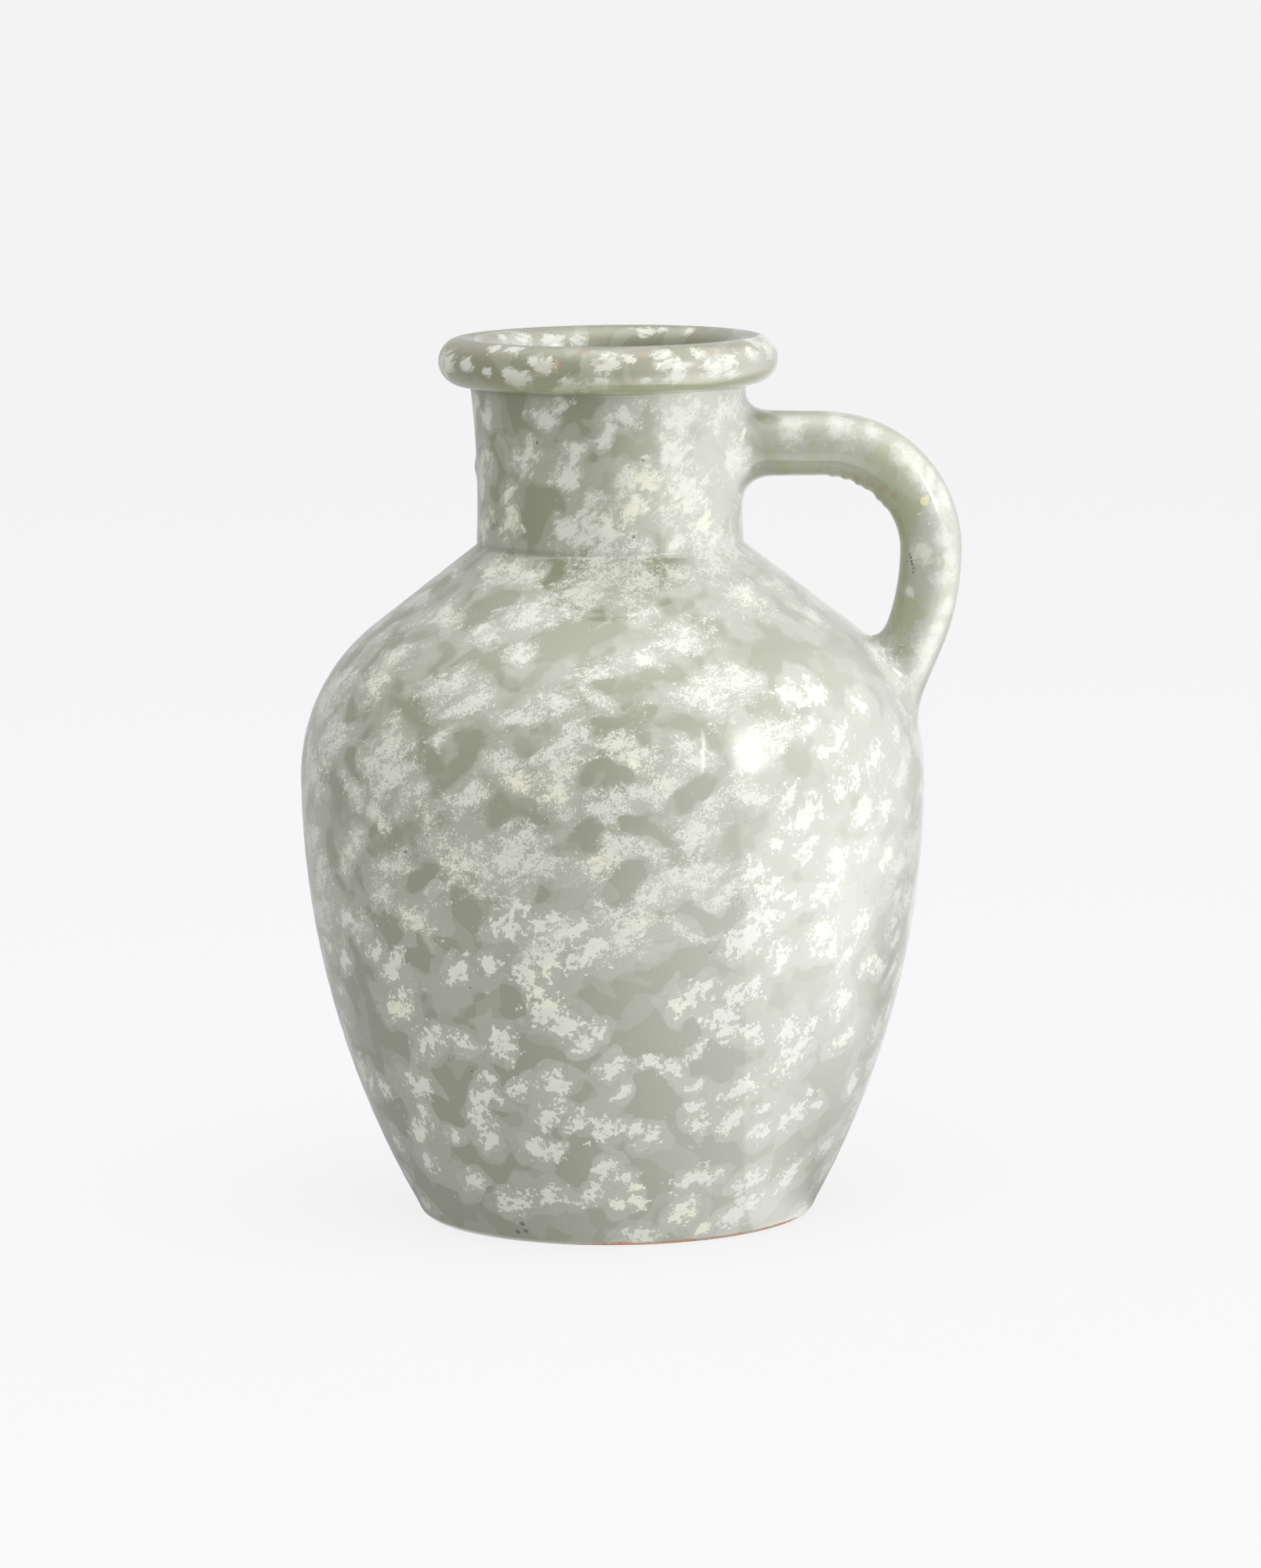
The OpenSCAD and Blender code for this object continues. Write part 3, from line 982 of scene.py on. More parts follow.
HIGH_CLEAR = Sketch(Touch.CLEAR, left_px=370, top_px=690, zoom=2.2, marks=(
    (935, 420, 72), (490, 580, 74), (690, 370, 62), (870, 640, 52), (935, 645, 42), (645, 740, 62),
    (385, 255, 50), (600, 160, 65), (450, 135, 60), (750, 85, 55), (870, 205, 50), (1065, 180, 55),
    (165, 605, 60), (525, 1040, 55), (340, 970, 55), (930, 950, 68), (785, 860, 70), (1085, 500, 60),
    (1160, 690, 55), (560, 335, 40), (610, 400, 52), (980, 800, 60), (655, 565, 56),
))
LOW_CLEAR = Sketch(Touch.CLEAR, left_px=400, top_px=1150, zoom=1.8, marks=(
    (430, 262, 62), (345, 90, 45), (300, 480, 52), (452, 500, 46), (790, 440, 75), (600, 605, 62),
    (700, 215, 60), (640, 175, 46), (880, 40, 60), (800, 640, 50), (600, 725, 56), (355, 372, 38),
    (520, 330, 45), (240, 130, 46),
))
NECK_FEATHERS = Sketch(Touch.FEATHER, left_px=540, top_px=380, zoom=2.8, marks=(
    (445, 430, 68), (370, 575, 68), (310, 785, 68), (720, 420, 75), (655, 490, 75), (545, 560, 58),
    (520, 640, 85), (610, 725, 58), (545, 835, 90), (650, 825, 75), (775, 640, 100), (760, 745, 80),
    (915, 430, 95), (900, 560, 95), (950, 700, 110), (1060, 420, 65), (1110, 560, 85), (1190, 580, 80),
    (985, 820, 75), (900, 880, 60), (225, 430, 55), (225, 560, 42), (205, 690, 42), (1190, 520, 60),
    (300, 700, 50),
))
RIM_FLECKS = Sketch(Touch.FLECK, left_px=540, top_px=380, zoom=2.8, marks=(
    (152, 235, 34), (330, 282, 50), (400, 225, 34), (432, 245, 36), (510, 322, 44), (575, 328, 40),
    (640, 312, 34), (660, 222, 40), (648, 248, 30), (735, 215, 26), (880, 232, 44), (905, 275, 42),
    (860, 205, 34), (1040, 250, 46), (1095, 230, 50), (1105, 275, 36), (1172, 190, 34), (255, 178, 34),
    (320, 180, 36), (985, 200, 34), (225, 262, 22), (790, 300, 20),
))
MOUTH_FLECKS = Sketch(Touch.FLECK, marks=(
    (640, 430, 9), (667, 431, 13), (705, 433, 14), (735, 434, 9), (824, 422, 12), (600, 437, 8),
    (880, 421, 7), (845, 420, 8),
), ground=Ground.MOUTH)
NECK_CLEAR = Sketch(Touch.CLEAR, left_px=540, top_px=380, zoom=2.8, marks=(
    (285, 430, 62), (420, 710, 56), (680, 580, 80), (400, 840, 54), (545, 430, 60), (830, 840, 60),
))
STRAP_FEATHERS = Sketch(Touch.FEATHER, left_px=920, top_px=470, zoom=2.6, marks=(
    (235, 195, 66), (395, 190, 74), (610, 285, 64), (735, 440, 70), (690, 375, 56), (670, 610, 62),
    (745, 690, 70), (625, 740, 30), (680, 930, 80), (650, 330, 54), (740, 570, 60), (755, 630, 54),
    (500, 205, 52), (750, 790, 52), (720, 860, 46),
), ground=Ground.STRAP)
CRACK = Sketch(Flaw.PIT, marks=(
    (1161, 707, 1.6), (1162, 711, 1.8), (1163, 716, 2.0), (1164, 720, 1.9), (1165, 725, 1.7),
    (1165, 730, 1.4), (1158, 716, 1.3),
), ground=Ground.STRAP)
BEADS = Sketch(Flaw.BEAD, marks=(
    (1179, 640, 6.0), (1183, 636, 4.0),
), ground=Ground.STRAP)
DRIPS = Sketch(Flaw.BEAD, marks=(
    (955, 497, 4.0), (956, 503, 3.4), (951, 493, 3.6),
))
PITS = Sketch(Flaw.PIT, marks=(
    (517, 1087, 2.2), (906, 1215, 1.7), (808, 685, 2.2), (820, 587, 2.2), (685, 565, 2.0), (661, 1571, 3.2),
    (666, 1561, 3.8), (671, 1570, 3.0), (602, 1367, 1.6), (905, 1498, 2.0), (1019, 1062, 1.4),
))
RIM_WEAR = Sketch(Touch.WEAR, marks=(
    (692, 470, 13), (712, 465, 11), (642, 452, 10), (770, 462, 8), (822, 452, 9), (900, 447, 12),
    (745, 448, 8),
))
STRAP_WEAR = Sketch(Touch.WEAR, marks=(
    (1083, 606, 7), (1097, 609, 9), (1112, 615, 10), (1127, 623, 9), (1140, 633, 8), (990, 603, 8),
), ground=Ground.STRAP)
SKETCHES = (
    LOW_DABS, RIGHT_DABS, HIGH_CLOUDS, HIGH_CLEAR, LOW_CLEAR, NECK_FEATHERS, NECK_CLEAR, STRAP_FEATHERS,
    RIM_FLECKS, MOUTH_FLECKS, RIM_WEAR, STRAP_WEAR, PITS, CRACK, BEADS, DRIPS,
)


class Scatter(NamedTuple):
    """Touches of one kind round the unseen wall: two heights, distance apart and reach, in millimetres."""

    touch: Touch
    low: float
    high: float
    apart: float
    reach: float


@dataclass
class SpongeWork:
    """Every touch of the sponge as a point on the vase with its reach, in millimetres.

    The side that the photograph shows has the listed touches. The rest has touches of the
    same sizes, scattered with a fixed seed. Jitters and sizes are shares of the distance and reach.
    """

    outline: Outline
    path: HandlePath
    view: PhotoView
    seen_deg: float = 66.0
    sight_half: float = 160.0
    sight_step: float = 0.4
    wall_scatters: tuple[Scatter, ...] = (
        Scatter(Touch.DAB, 6.0, 118.0, 13.5, 4.2),
        Scatter(Touch.CLOUD, 112.0, 232.0, 17.0, 8.6),
        Scatter(Touch.FEATHER, 243.0, 292.0, 13.0, 7.6),
        Scatter(Touch.CLEAR, 20.0, 286.0, 34.0, 7.0),
        Scatter(Touch.FLECK, 294.0, 307.0, 11.0, 4.2),
    )
    wear_scatter: Scatter = Scatter(Touch.WEAR, 303.0, 307.0, 24.0, 3.0)
    jitter: float = 0.45
    size_range: Pair = (0.65, 1.3)
    strap_apart: float = 12.0
    strap_reach: float = 6.0
    strap_jitter: float = 0.4
    strap_turns: Pair = (-0.3, 0.5)
    strap_sizes: Pair = (0.7, 1.3)
    lean_share: float = 0.5
    aside_waves: tuple[Wave, Wave] = (Wave(3.4, 7, 5.3), Wave(1.3, -13, 2.9))
    up_waves: tuple[Wave, Wave] = (Wave(3.4, 19, 11.0), Wave(1.3, 31, -7.0))
    far_value: float = -2.0
    climb_top: float = 320.0
    seed: int = 11
    touches: dict[Union[Touch, Flaw], Grid] = field(default_factory=dict)

    def noted(self, sketch: Sketch) -> Grid:
        """Touches of a sketch, each where its line of sight first meets the sketch's ground.

        A line of sight that misses it stops where it passes nearest.

        Args:
            sketch: The touches in their enlargement.

        Returns:
            Rows of X, Y, Z and reach.
        """
        marks = np.array(sketch.marks)
        across_px = sketch.left_px + marks[:, 0] / sketch.zoom
        down_px = sketch.top_px + marks[:, 1] / sketch.zoom
        eye, sight = self.view.rays(across_px, down_px)
        steps = np.arange(-self.sight_half, self.sight_half, self.sight_step) + self.view.away / MILLI
        points = eye + steps[None, :, None] * sight[:, None, :]
        radius = np.hypot(points[..., 0], points[..., 1])
        if sketch.ground is Ground.STRAP:
            gap = self.path.gap(points)
        elif sketch.ground is Ground.WALL:
            gap = radius - self.outline.wall_r(points[..., 2])
        else:
            far = points[..., 1] > 0
            gap = np.where(far, self.outline.mouth_wall_r(points[..., 2]) - radius, 1.0)
        inside = gap < 0
        away = steps[np.where(inside.any(axis=1), inside.argmax(axis=1), gap.argmin(axis=1))]
        reach = marks[:, 2] / sketch.zoom * away * self.view.sensor / (self.view.lens * self.view.high_px)
        return np.concatenate([eye + away[:, None] * sight, reach[:, None]], axis=1)

    def scattered(self, rng: np.random.Generator, scatter: Scatter) -> Grid:
        """Touches at jittered places round the unseen part of the wall.

        Args:
            rng: Source of the jitter.
            scatter: Heights, distance apart and reach.

        Returns:
            Rows of X, Y, Z and reach.
        """
        rows = np.arange(scatter.low, scatter.high, scatter.apart)
        middle_r = float(self.outline.wall_r(np.array((scatter.low + scatter.high) / 2)))
        columns = int(TURN * middle_r / scatter.apart)
        turn, height = np.meshgrid(np.arange(columns) * TURN / columns, rows)
        turn = turn + rng.uniform(-self.jitter, self.jitter, turn.shape) * TURN / columns
        height = height + rng.uniform(-self.jitter, self.jitter, turn.shape) * scatter.apart
        size = scatter.reach * rng.uniform(*self.size_range, turn.shape)
        facing = np.angle(np.exp(1j * (turn + math.pi / 2 - math.radians(self.view.turn))))
        hidden = np.abs(facing) > math.radians(self.seen_deg)
        places = round_axis(self.outline.wall_r(height), turn, height)
        return np.concatenate([places, size[..., None]], axis=-1)[hidden]

    def strap_back(self, rng: np.random.Generator) -> Grid:
        """Touches at jittered places along the strap's outer face and far side.

        Args:
            rng: Source of the jitter.

        Returns:
            Rows of X, Y, Z and reach.
        """
        along = np.arange(self.path.start, self.path.end, self.strap_apart)
        along = along + rng.uniform(-self.strap_jitter, self.strap_jitter, along.shape) * self.strap_apart
        angle = rng.uniform(*self.strap_turns, along.shape) * math.pi
        out = self.outline.sizes.strap_t_end / 2 * np.sin(angle)
        across = self.outline.sizes.strap_w / 2 * np.cos(angle)
        size = self.strap_reach * rng.uniform(*self.strap_sizes, along.shape)
        return np.concatenate([self.path.beside(along, across, out), size[:, None]], axis=-1)

    def climb(self, height: Grid) -> Grid:
        """Turn in radians of a line that climbs the wall at 45 degrees: a sum of one over its radius."""
        heights = np.arange(0.0, self.climb_top, 1.0)
        return np.interp(height, heights, np.cumsum(1 / self.outline.wall_r(heights)))

    def lay(self) -> None:
        """Gathers the touches and the flaws of each kind."""
        rng = np.random.default_rng(self.seed)
        found = {kind: [] for kind in (*Touch, *Flaw)}
        for sketch in SKETCHES:
            found[sketch.kind].append(self.noted(sketch))
        for scatter in self.wall_scatters:
            found[scatter.touch].append(self.scattered(rng, scatter))
        found[Touch.FEATHER].append(self.strap_back(rng))
        found[Touch.WEAR].append(self.scattered(rng, self.wear_scatter))
        self.touches = {kind: np.concatenate(groups) for kind, groups in found.items()}
        for kind, rows in self.touches.items():
            log.info("%s touches: %d", kind.value, len(rows))

    def swayed(self, points: Grid, share: float) -> Grid:
        """Points pushed along the wall by slow waves, between which a round touch is drawn out of round.

        The push round the wall is a wave over the height, and the push up is a wave over the way
        round, each with a ripple about half as long.

        Args:
            points: Points in millimetres.
            share: How much of the push is used.

        Returns:
            The pushed points.
        """
        radius = np.hypot(points[:, 0], points[:, 1])
        turn = np.arctan2(points[:, 1], points[:, 0])
        height = points[:, 2]
        aside = sum(wave.of(turn, height) for wave in self.aside_waves)
        up = sum(wave.of(turn, height) for wave in self.up_waves)
        turn = turn + share * aside / np.maximum(radius, 1.0)
        return round_axis(radius, turn, height + share * up)

    def field(self, touch: Touch, points: Grid) -> Grid:
        """The strongest touch at each point: one less the distance over the reach.

        Distance is taken between swayed points. Along the sponge's lean it counts for less, so that a
        touch is longer that way.

        Args:
            touch: The kind of touch.
            points: Points in millimetres.

        Returns:
            One value for each point.
        """
        best = np.full(len(points), self.far_value)
        tilt = math.radians(touch.lean_deg)
        points = self.swayed(points, touch.sway_share)
        middles = self.swayed(self.touches[touch], touch.sway_share)
        for (x, y, z), reach in zip(middles, self.touches[touch][:, 3]):
            offset = points - (x, y, z)
            turn = math.atan2(y, x)
            slant = (-math.sin(turn) * math.cos(tilt), math.cos(turn) * math.cos(tilt), math.sin(tilt))
            along = offset @ np.array(slant)
            away = np.sqrt(np.maximum((offset**2).sum(axis=1) - self.lean_share * along**2, 0.0))
            np.maximum(best, 1 - away / reach, out=best)
        return best


@dataclass(frozen=True)
class Tint:
    """A colour in the 0 to 255 values in which a picture shows it."""

    red: float
    green: float
    blue: float

    def linear(self) -> tuple[float, float, float, float]:
        """The colour as the shader's linear light, opaque."""
        parts = [value / 255 for value in (self.red, self.green, self.blue)]
        light = [part / 12.92 if part <= 0.04045 else ((part + 0.055) / 1.055) ** 2.4 for part in parts]
        return (light[0], light[1], light[2], 1.0)


Amount = Union["Wire", float]


def math_node(operation: str, flipped: bool = False) -> Callable[["Wire", Amount], "Wire"]:
    """A method for Wire that adds one Math node; flipped, the other value comes first.

    Args:
        operation: Blender's name for what the node does.
        flipped: Whether the operator's reflected form is wanted.

    Returns:
        The method.
    """

    def method(self: "Wire", other: Amount) -> "Wire":
        """The Math node's result."""
        values = {0: other, 1: self} if flipped else {0: self, 1: other}
        made = self.bench.node("ShaderNodeMath", {"operation": operation}, values)
        return Wire(self.bench, made.outputs[0])

    return method


class Wire:
    """One shader value. A sum written with it adds Math nodes to its bench.

    Most is the larger of two values. Above is one where this is the larger value, else zero.
    """

    SMOOTH = {"interpolation_type": "SMOOTHSTEP"}

    def __init__(self, bench: "Bench", socket: Socket) -> None:
        """Keeps the bench and the socket that carries the value."""
        self.bench = bench
        self.socket = socket

    __add__, __radd__ = math_node("ADD"), math_node("ADD", flipped=True)
    __sub__, __rsub__ = math_node("SUBTRACT"), math_node("SUBTRACT", flipped=True)
    __mul__, __rmul__ = math_node("MULTIPLY"), math_node("MULTIPLY", flipped=True)
    most = math_node("MAXIMUM")
    above = math_node("GREATER_THAN")

    def ease(self, low: Amount, high: Amount, rise: float = 1.0) -> "Wire":
        """Zero at low and the rise at high, with a smooth step between; low may be the larger."""
        inputs = {"Value": self, "From Min": low, "From Max": high, "To Max": rise}
        return Wire(self.bench, self.bench.node("ShaderNodeMapRange", self.SMOOTH, inputs).outputs[0])


class Bench:
    """The node tree of one material or world, with the few tools that the finishes are made with."""

    def __init__(self, owner: Union[Finish, bpy.types.World]) -> None:
        """Starts with the owner's tree, emptied."""
        self.owner = owner
        self.owner.use_nodes = True
        self.tree = self.owner.node_tree
        self.tree.nodes.clear()

    def node(
        self, kind: str, settings: dict[str, object], inputs: dict[Union[str, int], object],
    ) -> bpy.types.Node:
        """Adds a node of any kind.

        Args:
            kind: Blender's name for the node's type.
            settings: The node's own properties, set first.
            inputs: Values, wires or sockets for its inputs, by name or number.

        Returns:
            The new node.
        """
        made = self.tree.nodes.new(kind)
        for key, value in settings.items():
            setattr(made, key, value)
        for key, value in inputs.items():
            if isinstance(value, (Wire, Socket)):
                self.tree.links.new(value.socket if isinstance(value, Wire) else value, made.inputs[key])
            else:
                made.inputs[key].default_value = value
        return made

    def place(self) -> Socket:
        """The surface's own place in millimetres."""
        here = self.node("ShaderNodeTexCoord", {}, {}).outputs["Object"]
        return self.scaled(here, 1 / MILLI)

    def scaled(self, vector: Socket, scale: float) -> Socket:
        """A vector made longer by a number."""
        settings = {"operation": "SCALE"}
        return self.node("ShaderNodeVectorMath", settings, {0: vector, "Scale": scale}).outputs[0]

    def stretched(self, vector: Socket, scale: tuple[float, float, float]) -> Socket:
        """A vector scaled along each axis."""
        return self.node("ShaderNodeMapping", {}, {"Vector": vector, "Scale": scale}).outputs[0]

    def added(self, first: Socket, second: object) -> Socket:
        """The sum of two vectors."""
        return self.node("ShaderNodeVectorMath", {"operation": "ADD"}, {0: first, 1: second}).outputs[0]

    def parts(self, vector: Socket) -> tuple[Wire, Wire, Wire]:
        """The three parts of a vector or a colour."""
        split = self.node("ShaderNodeSeparateXYZ", {}, {0: vector})
        return tuple(Wire(self, socket) for socket in split.outputs)

    def noise(
        self, vector: Socket, size: float, detail: float = 2.0, rough: float = 0.5, curl: float = 0.0,
    ) -> Wire:
        """A cloudy value round a half.

        Args:
            vector: Place in millimetres.
            size: Distance across a lump.
            detail: How many finer layers are added.
            rough: Strength of each finer layer.
            curl: How far the lumps are drawn into curls.

        Returns:
            The value.
        """
        lumps = {"Vector": vector, "Scale": 1.0 / size, "Distortion": curl}
        inputs = {**lumps, "Detail": detail, "Roughness": rough}
        return Wire(self, self.node("ShaderNodeTexNoise", {}, inputs).outputs[0])

    def swayed(self, vector: Socket, size: float, reach: float) -> Socket:
        """A vector pushed about by a cloudy field.

        Args:
            vector: Place in millimetres.
            size: Distance across a lump of the field.
            reach: About how far it pushes at most.

        Returns:
            The pushed place.
        """
        inputs = {"Vector": vector, "Scale": 1.0 / size, "Detail": 1.0}
        field_colour = self.node("ShaderNodeTexNoise", {}, inputs).outputs[1]
        centred = self.added(field_colour, (-0.5, -0.5, -0.5))
        return self.added(vector, self.scaled(centred, 2.0 * reach))

    def cells(self, vector: Socket, size: float) -> tuple[Wire, Wire]:
        """Distance to the nearest of points about size millimetres apart, and that point's chance value."""
        made = self.node("ShaderNodeTexVoronoi", {"feature": "F1"}, {"Vector": vector, "Scale": 1.0 / size})
        return Wire(self, made.outputs["Distance"]) * size, self.parts(made.outputs["Color"])[0]

    def mask(self, name: str) -> Wire:
        """A value that the piece's points carry under that name."""
        return Wire(self, self.node("ShaderNodeAttribute", {"attribute_name": name}, {}).outputs["Fac"])

    def stroked(self, vector: Socket, climb: Wire, lean_deg: float, longer: float) -> Socket:
        """A place as the sponge's strokes see it, in which a round lump is a leaning stroke on the wall.

        With h the way round and z the way up, a stroke that is longer along its lean than across it
        has the squared size (h sin - z cos)^2 + (h cos + z sin)^2 / longer^2. That equals
        (wide (h - shift z))^2 + (tall z)^2, so the place is turned back round the axis by shift
        times the climb, and then scaled by wide and tall.

        Args:
            vector: Place in millimetres.
            climb: Turn of a line that climbs the wall at 45 degrees; 0 on the handle.
            lean_deg: Climb of the strokes.
            longer: Length of a stroke over its width.

        Returns:
            The place to look a pattern up at.
        """
        lean = math.radians(lean_deg)
        level = math.sin(lean) ** 2 + (math.cos(lean) / longer) ** 2
        upright = math.cos(lean) ** 2 + (math.sin(lean) / longer) ** 2
        cross = math.sin(lean) * math.cos(lean) * (1 - 1 / longer**2)
        shift, wide, tall = cross / level, math.sqrt(level), math.sqrt(upright - cross**2 / level)
        inputs = {"Vector": vector, "Angle": climb * -shift}
        turned = self.node("ShaderNodeVectorRotate", {"rotation_type": "Z_AXIS"}, inputs).outputs[0]
        return self.stretched(turned, (wide, wide, tall))

    def mixed(self, first: object, second: object, share: Amount) -> Socket:
        """A colour between two colours."""
        settings = {"data_type": "RGBA", "clamp_factor": True}
        return self.node("ShaderNodeMix", settings, {0: share, 6: first, 7: second}).outputs[2]

    def distance(self, vector: Socket, point: tuple[float, float, float]) -> Wire:
        """Distance from a fixed point in millimetres."""
        settings = {"operation": "DISTANCE"}
        return Wire(self, self.node("ShaderNodeVectorMath", settings, {0: vector, 1: point}).outputs["Value"])


@dataclass(frozen=True)
class GlazeLook:
    """What the glaze shows at each place, as wires of one bench."""

    colour: Socket
    rough: Wire
    height: Wire

    def coated(self, bench: Bench, coat: Amount) -> Finish:
        """Puts the look under a clear glossy coat.

        Args:
            bench: The material's bench.
            coat: How much of the coat lies there.

        Returns:
            The finished material.
        """
        bump = bench.node("ShaderNodeBump", {}, {"Strength": 0.6, "Distance": MILLI, "Height": self.height})
        shader = bench.node("ShaderNodeBsdfPrincipled", {}, {
            "Base Color": self.colour,
            "Roughness": self.rough,
            "IOR": 1.5,
            "Specular IOR Level": 0.65,
            "Coat Weight": coat,
            "Coat Roughness": 0.03,
            "Coat IOR": 1.75,
            "Normal": bump.outputs[0],
        })
        bench.node("ShaderNodeOutputMaterial", {}, {"Surface": shader.outputs[0]})
        return bench.owner


class SpongePatterns:
    """Masks and patterns that the coats of glaze share, as wires of one bench.

    Each pattern is a noise less a half, so that it wavers round zero.
    """

    NECK_FOOT = Ramp(226.0, 246.0)
    RIM_FOOT = Ramp(289.0, 294.0)
    SHOULDER = Ramp(115.0, 165.0)
    SHOULDER_END = 0.65
    CLEAR_EDGE = Ramp(0.05, 0.85)
    CLEAR_START = Ramp(0.0, 0.15)
    DROP_SHIFT = (40.0, 90.0, 10.0)

    def __init__(self, bench: Bench) -> None:
        """Reads the piece's masks and makes the patterns.

        Args:
            bench: The material's bench.
        """
        self.bench = bench
        self.place = bench.place()
        self.climb = bench.mask("climb")
        self.strap = bench.mask("strap")
        self.touch = {touch: bench.mask(touch.value) for touch in Touch}
        self.z = bench.parts(self.place)[2]
        self.high = self.z.ease(*self.NECK_FOOT).most(self.strap)
        self.rim = self.z.ease(*self.RIM_FOOT)
        self.upper = self.z.ease(*self.SHOULDER) - self.high * self.SHOULDER_END

        flowing = bench.swayed(self.place, size=16.0, reach=4.0)
        bent = bench.swayed(self.place, size=12.0, reach=6.0)
        patterns = {
            "grain": bench.noise(self.place, size=0.8, detail=2.0, rough=0.6),
            "torn": bench.noise(self.leaning(self.place, Touch.DAB, 1.25), size=3.6, detail=5.0, rough=0.66),
            "frill": bench.noise(self.place, size=2.0, detail=3.0, rough=0.6),
            "foam": bench.noise(self.place, size=1.3, detail=2.0, rough=0.6, curl=1.6),
            "smear": bench.noise(self.leaning(flowing, Touch.FEATHER, 4.0), size=1.2, detail=3.0, rough=0.6),
            "wisp": bench.noise(self.leaning(flowing, Touch.CLOUD, 4.0), size=1.2, detail=3.0, rough=0.6),
            "press": bench.noise(self.leaning(flowing, Touch.CLOUD, 2.4), size=6.5, detail=2.0, rough=0.5),
            "blob": bench.noise(bent, size=17.0, detail=1.0, rough=0.4),
            "drop": bench.noise(bench.added(bent, self.DROP_SHIFT), size=12.0, detail=1.0, rough=0.4),
        }
        self.patterns = {name: pattern - 0.5 for name, pattern in patterns.items()}
        clear = self.touch[Touch.CLEAR].most(0.0)
        edge = self.roughened(clear, press=1.5, torn=0.9).ease(*self.CLEAR_EDGE)
        self.bare = edge * clear.ease(*self.CLEAR_START)

    def leaning(self, vector: Socket, touch: Touch, longer: float) -> Socket:
        """A place in which a round lump is a stroke that leans as the touch does and is that much longer."""
        return self.bench.stroked(vector, self.climb, touch.lean_deg, longer)

    def roughened(self, start: Amount, **weights: float) -> Wire:
        """A value with patterns added to it, each times its weight."""
        return reduce(lambda total, name: total + self.patterns[name] * weights[name], weights, start)


class Veil(NamedTuple):
    """A thin coat: its cover, its edge low on the pot, and how far that widens on the shoulder."""

    cover: float
    edge: Ramp
    widen: Ramp

    def lies(self, value: Wire, upper: Wire) -> Wire:
        """One where the veil lies and zero where it doesn't."""
        return value.ease(self.edge.low - upper * self.widen.low, self.edge.high + upper * self.widen.high)


class Coat(NamedTuple):
    """How a kind of touch is laid: value far from a touch, edge, cover, and cover lost on other ground."""

    least: float
    edge: Ramp
    cover: float
    loss: float = 0.0

    def laid(self, value: Wire, other: Amount) -> Wire:
        """Cover of the touch, with its loss where the other ground is."""
        return value.ease(*self.edge) * (self.cover - other * self.loss)


